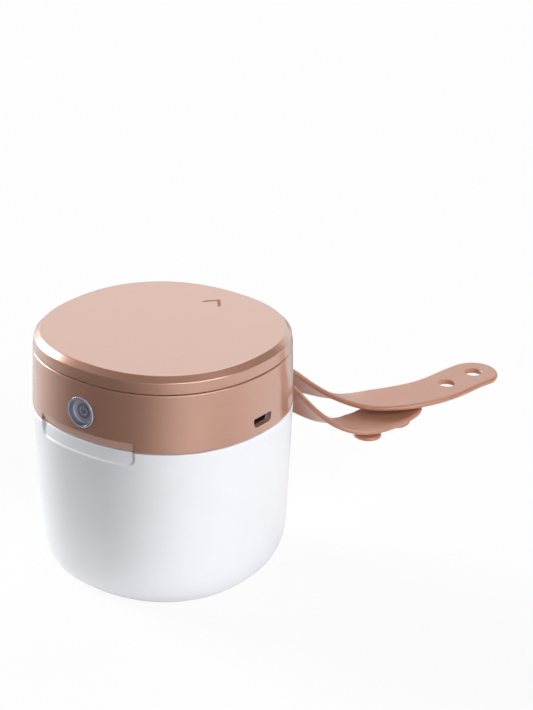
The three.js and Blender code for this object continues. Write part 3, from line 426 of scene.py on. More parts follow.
pad_low, pad_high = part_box("foot_pad")
pocket_half = pad_high.x + seam_gap
even_angles = np.linspace(-np.pi, np.pi, 240, endpoint=False)
boolean(
    pot, "DIFFERENCE",
    along_hinge("relief", knuckle_radius + knuckle_relief, -relief_half, relief_half),
    skin("pad_pocket", soft_rings([(pocket_half, -mm), (pocket_half, pad_high.z + seat_gap)], even_angles)),
)
boolean(
    pot, "UNION",
    along_hinge("knuckle", knuckle_radius, -knuckle_half, knuckle_half),
    block("bracket", (-knuckle_half, root_y, rim_top - ear_thickness),
          (knuckle_half, hinge_y + knuckle_radius, rim_top - seat_gap / 2)),
    ear("upper_ear", rim_top - ear_thickness, rim_top - seat_gap / 4),
    ear("lower_ear", low_ear_bottom, low_ear_bottom + ear_thickness),
)
boolean(
    pot, "DIFFERENCE",
    along_hinge("bore", hinge_pin_radius + running_gap, -relief_half, relief_half),
    cylinder("pin_bore", strap_pin_radius + running_gap, (0, strap_y, low_ear_bottom - seam_gap),
             (0, strap_y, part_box("strap_pin")[1].z + seat_gap)),
)
finish_mesh(pot)


mottle_width, gloss_spread, grain_height = 12 * mm, 0.03, 0.05 * mm


def moulded(name, colour, roughness, grain, bump, mottle=0.02, **sockets):
    """Moulded plastic: even colour with a faint broad mottle, and the fine spark-eroded grain of the tool."""
    material, tree, place = new_material(name)
    broad = add_node(tree, "ShaderNodeTexNoise", Vector=place, Scale=1 / mottle_width, Detail=2.0)
    shade = add_node(tree, "ShaderNodeMapRange", Value=broad.outputs["Fac"], To_Min=1 - mottle,
                     To_Max=1 + mottle)
    tint = add_node(tree, "ShaderNodeMix", {"data_type": "RGBA", "blend_type": "MULTIPLY"}, i0=1.0,
                    i6=srgb(colour), i7=shade.outputs[0])
    fine = add_node(tree, "ShaderNodeTexNoise", Vector=place, Scale=1 / grain, Detail=3.0)
    relief = add_node(tree, "ShaderNodeBump", Height=fine.outputs["Fac"], Strength=bump,
                      Distance=grain_height)
    gloss = add_node(tree, "ShaderNodeMapRange", Value=fine.outputs["Fac"], To_Min=roughness - gloss_spread,
                     To_Max=roughness + gloss_spread)
    surface = add_node(tree, "ShaderNodeBsdfPrincipled", Base_Color=tint.outputs[2],
                       Roughness=gloss.outputs[0], Normal=relief.outputs[0], **sockets)
    add_node(tree, "ShaderNodeOutputMaterial", Surface=surface.outputs[0])
    return material


def dress(piece, material, body, slot, *replaced):
    """Gives a piece its material and the body that carries it, and hides the nodes it stands for. The finish
    it is given is not used.
    """
    piece.data.materials.clear()
    piece.data.materials.append(material)
    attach(piece, body)
    if replaced:
        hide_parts(*replaced)
    return piece


white_abs = moulded("moulded white ABS", "#eeeff4", 0.3, 0.35 * mm, 0.15)
dress(pot, white_abs, "pot", "white_shell", "pot_shell")


# Chamber liner.
# A bowl of polished aluminium that holds the pacifier and throws the lamps' light back at it. Its flange
# drops into the step of the pot's rim.
near_axis = 0.5 * mm
liner_mouth_half, liner_floor_half, liner_fillet, liner_wall = 33 * mm, 30.6 * mm, 9 * mm, 1.2 * mm
liner_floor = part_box("chamber_liner")[0].z + liner_wall
flange_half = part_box("chamber_liner")[1].x
flange_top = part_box("chamber_liner")[1].z
flange_bottom = rim_top - ledge_depth + seat_gap
floor_centre, fillet_top = liner_floor_half - liner_fillet, liner_floor + liner_fillet
mouth_round = 0.6 * mm
mouth_level = flange_top - mouth_round
bowl = [(near_axis, liner_floor)]
bowl += arc(floor_centre, fillet_top, liner_fillet, liner_fillet, -90, 0, 20)
bowl += side_profile(fillet_top, mouth_level, liner_floor_half, liner_mouth_half, 12)[1:]
bowl += arc(liner_mouth_half + mouth_round, mouth_level, mouth_round, mouth_round, 180, 90, 6)[1:]
bowl += [(flange_half - seat_gap, flange_top), (flange_half, flange_top - seat_gap),
         (flange_half, flange_bottom), (liner_mouth_half + liner_wall, flange_bottom)]
outer_reach = liner_fillet + liner_wall
bowl += arc(floor_centre, fillet_top, outer_reach, outer_reach, 0, -90, 20)
bowl += [(near_axis, liner_floor - liner_wall)]
liner = finish_mesh(skin("chamber_bowl", soft_rings(bowl, even_angles)))


line_stretch = (0.15, 0.15, 1.0)


def metal(name, colour, roughness, brushed=0.0, spacing=0.2 * mm):
    """Bare metal: faint turned or drawn lines that vary the roughness."""
    material, tree, place = new_material(name)
    stretched = add_node(tree, "ShaderNodeMapping", Vector=place, Scale=line_stretch)
    lines = add_node(tree, "ShaderNodeTexNoise", Vector=stretched.outputs[0], Scale=1 / spacing, Detail=2.0)
    gloss = add_node(tree, "ShaderNodeMapRange", Value=lines.outputs["Fac"],
                     To_Min=roughness * (1 - brushed), To_Max=roughness * (1 + brushed))
    surface = add_node(tree, "ShaderNodeBsdfPrincipled", Base_Color=srgb(colour), Metallic=1.0,
                       Roughness=gloss.outputs[0])
    add_node(tree, "ShaderNodeOutputMaterial", Surface=surface.outputs[0])
    return material


polished_aluminium = metal("polished aluminium", "#e3e4e6", 0.12, 0.3)
dress(liner, polished_aluminium, "pot", "bright_liner", "chamber_liner")


# Foot pad.
# A soft grey silicone disc in a pocket under the pot, which keeps the case from sliding.
pad_round = 0.25 * mm
pad_profile = [(near_axis, pad_low.z), (pad_high.x - pad_round, pad_low.z)]
pad_profile += arc(pad_high.x - pad_round, pad_low.z + pad_round, pad_round, pad_round, -90, 0, 4)[1:]
pad_profile += [(pad_high.x, pad_high.z), (near_axis, pad_high.z)]
pad = finish_mesh(skin("foot_disc", soft_rings(pad_profile, even_angles)))
grey_silicone = moulded("grey silicone", "#b4b6ba", 0.6, 0.5 * mm, 0.2)
dress(pad, grey_silicone, "pot", "grey_rubber", "foot_pad")


# Pins and the pot's magnet.
# Two ground steel pins: one through the hinge's knuckles, and one upright through the ears, which the
# strap's fold turns on. The plated magnet is the pot's half of the catch.
plated_steel = metal("nickel-plated steel", "#c4c6ca", 0.22, 0.3)


hard_edge_degrees = 40


def from_node(node, name, material, body, slot, edge=0.15 * mm, sharp_degrees=32):
    """Piece from a welded copy of a CAD node, with its hard edges rounded off."""
    piece = bpy.data.objects.new(name, nodes[node].data.copy())
    bpy.context.scene.collection.objects.link(piece)
    finish_mesh(piece, sharp_degrees)
    if edge:
        bevel = piece.modifiers.new("edges", "BEVEL")
        bevel.width, bevel.segments, bevel.limit_method = edge, 2, "ANGLE"
        bevel.angle_limit = np.radians(hard_edge_degrees)
        bevel.use_clamp_overlap = True
        piece.modifiers.new("flat faces", "WEIGHTED_NORMAL").keep_sharp = True
    return dress(piece, material, body, slot, node)


from_node("hinge_pin", "hinge_bar", plated_steel, "pot", "plated_steel")
from_node("strap_pin", "strap_bar", plated_steel, "pot", "plated_steel")
from_node("pot_magnet", "pot_catch_magnet", plated_steel, "pot", "plated_steel")


# Lid band.
# The blush ring of the lid, moulded in ABS with mica in it, which gives a soft pearl. Its lower edge slopes
# in above the pot's scoop, the push button sits in front, and the charge port is cut in the right side.
band_bottom = rim_top + seam_gap
lid_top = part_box("top_cap")[1].z
cap_height = 5.5 * mm
band_top = lid_top - cap_height - seam_gap / 2
band_top_half, band_wall = 39.55 * mm, 2.1 * mm
band_inner_half = case_half - band_wall
ledge_drop, ledge_width, ledge_thickness, strip_wall = 2.4 * mm, 1.6 * mm, 1.4 * mm, 1.1 * mm
board_under, board_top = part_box("main_board")[0].z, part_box("main_board")[1].z
ledge_bottom = board_under - ledge_drop
ledge_top = ledge_bottom + ledge_thickness


def strip_inset(x, z):
    """Depth of the scoop's upper half: a slope down to the scoop's depth at the seam, soft at its ends."""
    end = np.clip((scoop_half_width - np.abs(x)) / strip_wall, 0, 1)
    rise = np.clip((band_bottom + scoop_rise - z) / scoop_rise, 0, 1)
    return scoop_depth * rise * end ** 2 * (3 - 2 * end)


strip_top = band_bottom + scoop_rise
strip_half = case_half + (band_top_half - case_half) * (strip_top - band_bottom) / (band_top - band_bottom)
band_profile = arc(case_half - edge_round, band_bottom + edge_round, edge_round, edge_round, -90, 0, 5)
band_profile += side_profile(band_bottom + edge_round, strip_top + strip_wall, case_half, strip_half, 20)[1:]
band_profile += side_profile(strip_top + strip_wall, band_top - edge_round, strip_half, band_top_half, 16)[1:]
band_profile += arc(band_top_half - edge_round, band_top - edge_round, edge_round, edge_round, 0, 90, 5)[1:]
band_profile += [
    (band_top_half - band_wall, band_top),
    (band_top_half - band_wall, ledge_top + ledge_width),
    (band_inner_half - ledge_width, ledge_top),
    (band_inner_half - ledge_width, ledge_bottom),
    (band_inner_half, ledge_bottom),
    (band_inner_half, band_bottom),
]
band = skin("lid_ring", press(soft_rings(band_profile, angles), strip_inset), closed_profile=True)

ring_low, ring_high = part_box("light_ring")
button_level = (ring_low.z + ring_high.z) / 2
button_radius, ring_wall, slide_gap = 4.5 * mm, 0.42 * mm, 0.15 * mm
ring_radius = button_radius + slide_gap + ring_wall
socket_low, socket_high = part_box("socket_shell")
socket_level = (socket_low.z + socket_high.z) / 2
port_width, port_tall, port_taper_share, port_round = 8.7 * mm, 3.1 * mm, 0.05, 0.4 * mm
port_rounds = np.array([1, 1, 2.4, 2.4, 1, 1])


def port_outline(width, tall, round_radius):
    """Charge port seen from the right: flat top, upright upper sides, lower sides drawn in, all rounded."""
    narrow = width * (0.5 - port_taper_share)
    corners = np.array([[-width / 2, tall / 2], [-width / 2, 0], [-narrow, -tall / 2], [narrow, -tall / 2],
                        [width / 2, 0], [width / 2, tall / 2]])
    outline = []
    for i, corner in enumerate(corners):
        before, after = corners[i - 1] - corner, corners[(i + 1) % len(corners)] - corner
        start = corner + before / np.linalg.norm(before) * round_radius * port_rounds[i]
        finish = corner + after / np.linalg.norm(after) * round_radius * port_rounds[i]
        for share in np.linspace(0, 1, 6):
            outline.append((1 - share) ** 2 * start + 2 * share * (1 - share) * corner + share ** 2 * finish)
    return np.array(outline)


def port_skin(name, sections, round_radius):
    """Closed piece through outlines of the port: a (width, height, x) for each section."""
    rows = []
    for width, tall, x in sections:
        across, up = port_outline(width, tall, round_radius).T
        rows.append(np.stack([x + 0 * across, across, up + socket_level], axis=-1))
    return finish_mesh(skin(name, np.array(rows)))


socket_room_half, socket_room_depth, button_sides = 7.3 * mm, 7 * mm, 96
hole_depth, ring_room_depth, port_depth = 5 * mm, 7 * mm, 5 * mm
for low_x, high_x in ((-pin_half, -knuckle_half - seam_gap), (knuckle_half + seam_gap, pin_half)):
    boolean(
        band, "UNION",
        along_hinge("side_knuckle", knuckle_radius, low_x, high_x),
        block("web", (low_x, case_half - band_wall + seat_gap, hinge_z),
              (high_x, hinge_y, hinge_z + knuckle_radius + seat_gap)),
    )
boolean(
    band, "DIFFERENCE",
    along_hinge("middle_relief", knuckle_radius + knuckle_relief, -knuckle_half - seam_gap,
                knuckle_half + seam_gap),
    along_hinge("bore", hinge_pin_radius + running_gap, -relief_half, relief_half),
    cylinder("button_hole", ring_radius + 2 * seat_gap, (0, -case_half - mm, button_level),
             (0, -case_half + hole_depth, button_level), button_sides),
    cylinder("ring_room", ring_high.x + seam_gap, (0, -band_inner_half + seat_gap, button_level),
             (0, -case_half + ring_room_depth, button_level), button_sides),
    block("socket_room", (case_half - socket_room_depth, -socket_room_half, ledge_bottom - mm),
          (band_inner_half - seat_gap, socket_room_half, board_top + seam_gap)),
    port_skin("port", [(port_width, port_tall, case_half - port_depth),
                       (port_width, port_tall, case_half + mm)], port_round),
)
finish_mesh(band)
blush_abs = moulded("pearl blush ABS", "#c4937e", 0.3, 0.3 * mm, 0.05, Metallic=0.4, Coat_Weight=1.0,
                    Coat_Roughness=0.14, Coat_IOR=1.7)
dress(band, blush_abs, "lid", "blush_shell", "lid_band")


# Top cap.
# The flat, bevelled top of the lid, moulded with the band's material and snapped on with four screw bosses
# under it. A small arrow is engraved near the hinge.
cap_bottom = band_top + seam_gap
cap_edge_half, cap_face_half = 39.1 * mm, 37.35 * mm
bevel_drop, cap_thickness, bevel_turn = 1.85 * mm, 2.2 * mm, 0.1 * mm
bevel_foot = lid_top - bevel_drop
lip_wall, lip_drop = 1.3 * mm, 1.9 * mm
lip_outer = band_top_half - band_wall - seam_gap
cap_profile = [
    (near_axis, lid_top - cap_thickness),
    (lip_outer - lip_wall, lid_top - cap_thickness),
    (lip_outer - lip_wall, band_top - lip_drop),
    (lip_outer, band_top - lip_drop),
    (lip_outer, cap_bottom),
]
cap_profile += arc(band_top_half - edge_round, cap_bottom + edge_round, edge_round, edge_round, -90, 0, 4)
cap_profile += [
    (cap_edge_half, bevel_foot - 2 * bevel_turn),
    (cap_edge_half, bevel_foot - bevel_turn),
    (cap_edge_half - bevel_turn, bevel_foot + bevel_turn),
    (cap_edge_half - 2 * bevel_turn, bevel_foot + 2 * bevel_turn),
    (cap_face_half + 2 * bevel_turn, lid_top - 2 * bevel_turn),
    (cap_face_half + bevel_turn, lid_top - bevel_turn),
    (cap_face_half - bevel_turn, lid_top),
    (cap_face_half - 2 * bevel_turn, lid_top),
    (near_axis, lid_top),
]
cap = skin("lid_top", soft_rings(cap_profile, angles))

arrow_tip, arrow_reach, arrow_drop = 29.2 * mm, 3.4 * mm, 3.9 * mm
arrow_stroke, arrow_depth = 1.1 * mm, 0.12 * mm


def arrow(low, high):
    """Two strokes that meet in a point at the back: a prism of six corners between two heights."""
    lean = np.hypot(arrow_reach, arrow_drop) / arrow_reach * arrow_stroke
    wing = arrow_tip - arrow_drop
    outline = np.array([
        [0, arrow_tip], [-arrow_reach, wing], [-arrow_reach, wing - lean],
        [0, arrow_tip - lean], [arrow_reach, wing - lean], [arrow_reach, wing],
    ])
    return finish_mesh(prism("arrow_ink", outline, low, high))


screw_head_radius, boss_radius, boss_bore_radius, boss_bore_depth = 1.9 * mm, 2.7 * mm, 1.12 * mm, 9.6 * mm
boss_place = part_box("cover_screw_1")[1].x - screw_head_radius
boss_foot = board_top + seat_gap
corners = [(x * boss_place, y * boss_place) for x in (-1, 1) for y in (-1, 1)]
boolean(cap, "DIFFERENCE", arrow(lid_top - arrow_depth, lid_top + mm))
boolean(cap, "UNION", *[cylinder("boss", boss_radius, (x, y, boss_foot), (x, y, lid_top - cap_thickness / 2),
                                 sides=40) for x, y in corners])
boolean(cap, "DIFFERENCE", *[cylinder("bore", boss_bore_radius, (x, y, boss_foot - mm),
                                      (x, y, boss_foot + boss_bore_depth), sides=24) for x, y in corners])
finish_mesh(cap, sharp_degrees=30)
dress(cap, blush_abs, "lid", "blush_shell", "top_cap")
brown_ink = moulded("brown pad-printed ink", "#9c5f45", 0.45, 0.15 * mm, 0.1)
dress(arrow(lid_top - arrow_depth, lid_top - arrow_depth / 2), brown_ink, "lid", "blush_shell")


# Inner cover.
# The white underside of the lid, a moulded plate with a spigot that closes the liner's mouth, a seat for
# the lamp window, four recessed screws and the lid's half of the catch.
from_node("inner_cover", "lid_underside", white_abs, "lid", "white_shell", edge=0.2 * mm)
for number in range(1, 5):
    from_node(f"cover_screw_{number}", f"cover_screw_bar_{number}", plated_steel, "lid", "plated_steel",
              edge=0.08 * mm)
from_node("lid_magnet", "lid_catch_magnet", plated_steel, "lid", "plated_steel")


# Rim seal.
# A soft grey silicone ring that meets the liner's rim when the lid is shut.
from_node("rim_seal", "rim_seal_ring", grey_silicone, "lid", "grey_rubber", edge=0.3 * mm)


# Lamp window.
# A disc of clear quartz glass, which lets ultraviolet light through, held on its seat by a silicone gasket.
smear_width, smear_spread = 6 * mm, 0.05


def clear(name, colour, roughness, ior):
    """Clear glass or resin, with faint broad smears in its roughness."""
    material, tree, place = new_material(name)
    smear = add_node(tree, "ShaderNodeTexNoise", Vector=place, Scale=1 / smear_width, Detail=3.0)
    gloss = add_node(tree, "ShaderNodeMapRange", Value=smear.outputs["Fac"], To_Min=roughness,
                     To_Max=roughness + smear_spread)
    surface = add_node(tree, "ShaderNodeBsdfPrincipled", Base_Color=srgb(colour), Roughness=gloss.outputs[0],
                       IOR=ior, Transmission_Weight=1.0)
    add_node(tree, "ShaderNodeOutputMaterial", Surface=surface.outputs[0])
    return material


quartz_glass = clear("quartz glass", "#f2f7fa", 0.02, 1.46)
from_node("lamp_window", "lamp_window_disc", quartz_glass, "lid", "quartz", edge=0.2 * mm)
from_node("window_gasket", "window_gasket_ring", grey_silicone, "lid", "grey_rubber", edge=0.2 * mm)


# Lamps.
# Two ultraviolet lamps, each a square of white ceramic with a clear dome over a gold-coloured pad, soldered
# under the board, and two small status lamps behind the button's ring.
lamp_ceramic = moulded("fired lamp ceramic", "#ece8dc", 0.5, 0.1 * mm, 0.1)
gold_plate = metal("gold plating", "#d8b45a", 0.25, 0.2)
lens_resin = clear("lens resin", "#f6f4e6", 0.05, 1.5)


def turned(name, profile, place, direction=(0, 0, -1), first=(1, 0, 0), sides=64, closed_profile=False):
    """Ring or solid turned from (radius, distance) pairs, with distance along a direction from a place."""
    radius, along = np.asarray(profile, float).T
    direction = np.array(direction, float) / np.linalg.norm(direction)
    first = np.array(first, float) - np.dot(first, direction) * direction
    first = first / np.linalg.norm(first)
    second = np.cross(direction, first)
    angle = np.linspace(0, 2 * np.pi, sides, endpoint=False)
    spoke = np.cos(angle)[:, None] * first + np.sin(angle)[:, None] * second
    grid = np.array(place) + along[:, None, None] * direction + radius[:, None, None] * spoke[None]
    return finish_mesh(skin(name, grid, closed_profile))


plate_radius, plate_thickness, lens_radius, lens_height = 1.4 * mm, 0.03 * mm, 1.3 * mm, 0.7 * mm
lamp_axis = 0.02 * mm
lens_turn = np.linspace(0, np.radians(88), 14)
lens_profile = [(lamp_axis, plate_thickness), *zip(lens_radius * np.cos(lens_turn),
                                                   plate_thickness + lens_height * np.sin(lens_turn))]
plate_profile = [(lamp_axis, 0), (plate_radius, 0), (plate_radius, plate_thickness),
                 (lamp_axis, plate_thickness)]
for number in (1, 2):
    lamp_low, lamp_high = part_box(f"uv_lamp_{number}")
    foot = ((lamp_low.x + lamp_high.x) / 2, (lamp_low.y + lamp_high.y) / 2, lamp_low.z)
    from_node(f"uv_lamp_{number}", f"lamp_ceramic_{number}", lamp_ceramic, "lid", "lamp_body", edge=0.1 * mm)
    dress(turned(f"lamp_plate_{number}", plate_profile, foot), gold_plate, "lid", "lamp_body")
    dress(turned(f"lamp_lens_{number}", lens_profile, foot), lens_resin, "lid", "lamp_body")
for number in (1, 2):
    from_node(f"status_lamp_{number}", f"status_lamp_body_{number}", lamp_ceramic, "lid", "lamp_body",
              edge=0.06 * mm)


# Main board.
# Glass-fibre board with green solder mask, and what is soldered to it: three capacitors and the lamps'
# driver under it, the lid sensor, the switch and the battery plug.
solder_mask = moulded("green solder mask", "#1f5a3d", 0.35, 0.6 * mm, 0.1, mottle=0.08)
black_nylon = moulded("moulded black nylon", "#1b1b1d", 0.5, 0.15 * mm, 0.2)
white_nylon = moulded("moulded white nylon", "#ecebe6", 0.5, 0.15 * mm, 0.2)
from_node("main_board", "lid_board", solder_mask, "lid", "circuit_board", edge=0)

chip_row, chip_pitch = 7 * mm, 3 * mm
chip_length, chip_width, chip_height, chip_cap = 1.6 * mm, 0.8 * mm, 0.45 * mm, 0.3 * mm
driver_size, driver_height, eased = 4 * mm, 0.9 * mm, 0.05 * mm
leg_width, leg_pitch, leg_height, legs_across = 0.4 * mm, 1 * mm, 0.25 * mm, 5.2 * mm


def soldered(name, middle, size, material, slot):
    """Small block soldered under the board, with its edges eased."""
    half = np.array([size[0] / 2, size[1] / 2])
    piece = block(name, (*(np.array(middle) - half), board_under - size[2]),
                  (*(np.array(middle) + half), board_under))
    ease = piece.modifiers.new("edges", "BEVEL")
    ease.width, ease.segments = eased, 2
    return dress(finish_mesh(piece), material, "lid", slot)


for number, x in enumerate((-chip_pitch, 0, chip_pitch)):
    soldered(f"chip_{number}", (x, chip_row), (chip_length - 2 * chip_cap, chip_width, chip_height),
             black_nylon, "black_plastic")
    for side, end in (("left", -1), ("right", 1)):
        soldered(f"chip_{number}_{side}_cap", (x + end * (chip_length - chip_cap) / 2, chip_row),
                 (chip_cap, chip_width, chip_height), plated_steel, "plated_steel")
soldered("lamp_driver", (0, -chip_row), (driver_size, driver_size, driver_height), black_nylon,
         "black_plastic")
for number, share in enumerate((-1.5, -0.5, 0.5, 1.5)):
    soldered(f"driver_legs_{number}", (share * leg_pitch, -chip_row), (leg_width, legs_across, leg_height),
             plated_steel, "plated_steel")
from_node("lid_sensor", "lid_sensor_body", black_nylon, "lid", "black_plastic", edge=0.1 * mm)
from_node("switch_body", "switch_housing", black_nylon, "lid", "black_plastic", edge=0.15 * mm)
from_node("switch_plunger", "switch_plunger_bar", white_nylon, "plunger", "white_plastic", edge=0.1 * mm)
from_node("battery_plug", "battery_plug_body", white_nylon, "lid", "white_plastic", edge=0.15 * mm)


# Battery.
# A flat cell in a crimped foil pouch, stuck under the top with a foam pad, with two insulated leads to its
# plug.
pouch_foil = metal("battery pouch foil", "#b4b7bc", 0.32, 0.2, spacing=0.5 * mm)
foam_tape = moulded("foam tape", "#4d5058", 0.9, 0.3 * mm, 0.6)
red_pvc = moulded("red lead insulation", "#b23a30", 0.4, 0.3 * mm, 0.1)
black_pvc = moulded("black lead insulation", "#222224", 0.4, 0.3 * mm, 0.1)
from_node("battery_cell", "battery_pouch", pouch_foil, "lid", "battery_foil", edge=0.5 * mm)
from_node("battery_pad", "battery_foam", foam_tape, "lid", "foam", edge=0.1 * mm)
from_node("battery_lead_red", "red_lead", red_pvc, "lid", "red_lead", edge=0, sharp_degrees=50)
from_node("battery_lead_black", "black_lead", black_pvc, "lid", "black_lead", edge=0, sharp_degrees=50)


# Push button.
# A dished button of smoke-tinted polycarbonate, which slides in the light ring and works the switch behind
# it. A plain on-off sign shows faintly through its face.
button_low, button_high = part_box("power_button")
button_face = button_low.y
button_axis = 0.1 * mm
button_flange_radius, flange_thickness = 5.2 * mm, 0.8 * mm
stem_radius, stem_length = 1.5 * mm, 1.1 * mm
button_depth = button_high.y - button_face
flange_back = button_depth - stem_length
flange_front = flange_back - flange_thickness
floor_radius, wall_depth, wall_lean, floor_fillet, floor_crown = (
    3.8 * mm, 1.6 * mm, 0.45 * mm, 0.3 * mm, 0.12 * mm)
fillet_start = floor_radius - floor_fillet
button_profile = [(fillet_start * share, wall_depth + floor_crown * (1 - share ** 2))
                  for share in np.linspace(0.01, 1, 16)]
button_profile += [
    (fillet_start + floor_fillet * np.sin(turn), wall_depth - floor_fillet * (1 - np.cos(turn)))
    for turn in np.linspace(0, np.radians(80), 7)[1:]
]
rim_round = (button_radius - floor_radius - wall_lean) / 2
button_profile += arc(button_radius - rim_round, rim_round, rim_round, rim_round, 180, 360, 12)
button_profile += [(button_radius, flange_front), (button_flange_radius, flange_front),
                   (button_flange_radius, flange_back), (stem_radius, flange_back),
                   (stem_radius, button_depth), (button_axis, button_depth)]
button = turned("push_button", button_profile, (0, button_face, button_level), (0, 1, 0), sides=button_sides)


def smoked_button():
    """Smoke-tinted polycarbonate: a soft satin moulding with a printed ring and bar just under its face. The
    sloped wall of its dish is painted darker all round: painted shade.
    """
    sign_radius, sign_stroke, sign_soft = 1.3 * mm, 0.2 * mm, 0.15 * mm
    gap_half, bar_low, bar_high = 0.55 * mm, 0.4 * mm, 1.8 * mm
    spot_radius, spot_soft, wall_soft = 2.3 * mm, 0.5 * mm, 0.1 * mm
    material, tree, place = new_material("smoke-tinted polycarbonate")
    face = add_node(tree, "ShaderNodeMapping", Vector=place, Location=(0, 0, -button_level), Scale=(1, 0, 1))
    axes = add_node(tree, "ShaderNodeSeparateXYZ", Vector=face.outputs[0])
    across, up = axes.outputs["X"], axes.outputs["Z"]
    reach = add_node(tree, "ShaderNodeVectorMath", {"operation": "LENGTH"}, i0=face.outputs[0])
    away = reach.outputs["Value"]

    def inside(value, middle, limit):
        """1 where a value is within the limit of a middle, falling softly to 0 past it."""
        apart = add_node(tree, "ShaderNodeMath", {"operation": "SUBTRACT"}, i0=value, i1=middle)
        distance = add_node(tree, "ShaderNodeMath", {"operation": "ABSOLUTE"}, i0=apart.outputs[0])
        return add_node(tree, "ShaderNodeMapRange", {"interpolation_type": "SMOOTHSTEP"},
                        Value=distance.outputs[0], From_Min=limit, From_Max=limit + sign_soft, To_Min=1.0,
                        To_Max=0.0).outputs[0]

    def outside(limit, soft):
        """0 within a distance from the button's middle, rising softly to 1 past it."""
        return add_node(tree, "ShaderNodeMapRange", {"interpolation_type": "SMOOTHSTEP"}, Value=away,
                        From_Min=limit, From_Max=limit + soft).outputs[0]

    above = add_node(tree, "ShaderNodeMapRange", {"interpolation_type": "SMOOTHSTEP"}, Value=up,
                     From_Min=-sign_soft, From_Max=0.0)
    gap = add_node(tree, "ShaderNodeMath", {"operation": "MULTIPLY"}, i0=inside(across, 0.0, gap_half),
                   i1=above.outputs[0])
    kept = add_node(tree, "ShaderNodeMath", {"operation": "SUBTRACT"}, i0=1.0, i1=gap.outputs[0])
    ring = add_node(tree, "ShaderNodeMath", {"operation": "MULTIPLY"}, i0=kept.outputs[0],
                    i1=inside(away, sign_radius, sign_stroke))
    bar = add_node(tree, "ShaderNodeMath", {"operation": "MULTIPLY"}, i0=inside(across, 0.0, sign_stroke),
                   i1=inside(up, (bar_low + bar_high) / 2, (bar_high - bar_low) / 2))
    sign = add_node(tree, "ShaderNodeMath", {"operation": "MAXIMUM"}, i0=ring.outputs[0], i1=bar.outputs[0])
    colour = srgb("#8a8898")
    for share, tone in (
        (outside(spot_radius, spot_soft), "#bfbdc9"),
        (sign.outputs[0], "#c4c2ce"),
        # painted shade: the dish's sloped wall is darker all round
        (outside(floor_radius, wall_soft), "#666b85"),
        (outside(floor_radius + wall_lean, wall_soft), "#8f8d9a"),
    ):
        colour = add_node(tree, "ShaderNodeMix", {"data_type": "RGBA"}, i0=share, i6=colour,
                          i7=srgb(tone)).outputs[2]
    grain = add_node(tree, "ShaderNodeTexNoise", Vector=place, Scale=1 / (0.3 * mm), Detail=2.0)
    relief = add_node(tree, "ShaderNodeBump", Height=grain.outputs["Fac"], Strength=0.05,
                      Distance=grain_height)
    surface = add_node(tree, "ShaderNodeBsdfPrincipled", Base_Color=colour, Roughness=0.3, IOR=1.58,
                       Coat_Weight=0.4, Coat_Roughness=0.12, Normal=relief.outputs[0])
    add_node(tree, "ShaderNodeOutputMaterial", Surface=surface.outputs[0])
    return material


dress(button, smoked_button(), "button", "smoke_plastic", "power_button")


# Light ring.
# A pale lavender ring of translucent polycarbonate round the button, which carries the status lamps' light
# forward.
ring_inner = button_radius + slide_gap
ring_depth = ring_high.y - ring_low.y
ring_flange = 0.8 * mm
ring_foot = ring_depth - ring_flange
ring_round = ring_wall / 2
ring_profile = arc(ring_inner + ring_round, ring_round, ring_round, ring_round, 180, 360, 12)
ring_profile += [(ring_radius, ring_foot), (ring_high.x, ring_foot), (ring_high.x, ring_depth),
                 (ring_inner, ring_depth)]
ring_piece = turned("button_ring", ring_profile, (0, ring_low.y, button_level), (0, 1, 0),
                    sides=button_sides, closed_profile=True)
lavender = moulded("translucent lavender polycarbonate", "#b5b1c4", 0.35, 0.3 * mm, 0.03, Coat_Weight=0.5,
                   Coat_Roughness=0.1, Subsurface_Weight=0.2, Subsurface_Scale=1 * mm)
dress(ring_piece, lavender, "lid", "ring_plastic", "light_ring")


# Charge socket.
# A drawn shell of nickel-plated steel behind the port, with a black lining and a black tongue in it that
# carries the contacts.
socket_width, socket_tall = socket_high.y - socket_low.y, socket_high.z - socket_low.z
socket_skin, edge_turn, lining_gap, lining_wall = 0.3 * mm, 0.15 * mm, 0.02 * mm, 0.1 * mm
shell_round, lining_round = 0.45 * mm, 0.35 * mm
mouth_x, back_x = socket_high.x, socket_low.x
shell_steps = [
    (0, back_x), (0, mouth_x - edge_turn), (edge_turn * 0.3, mouth_x - edge_turn * 0.3),
    (edge_turn, mouth_x), (socket_skin - edge_turn * 0.3, mouth_x - edge_turn * 0.3),
    (socket_skin, mouth_x - edge_turn), (socket_skin, back_x + socket_skin),
]
lining_steps = [
    (socket_skin + lining_gap, back_x + socket_skin + lining_gap),
    (socket_skin + lining_gap, mouth_x - edge_turn - lining_wall),
    (socket_skin + lining_wall, mouth_x - edge_turn),
    (socket_skin + lining_wall, back_x + 2 * socket_skin),
]
shell, lining = [
    port_skin(name, [(socket_width - 2 * inset, socket_tall - 2 * inset, x) for inset, x in steps], rounding)
    for name, steps, rounding in (("socket_cup", shell_steps, shell_round),
                                  ("socket_lining", lining_steps, lining_round))
]
dress(shell, plated_steel, "lid", "plated_steel", "socket_shell")
dress(lining, black_nylon, "lid", "black_plastic")
from_node("socket_tongue", "socket_tongue_bar", black_nylon, "lid", "black_plastic", edge=0.1 * mm)


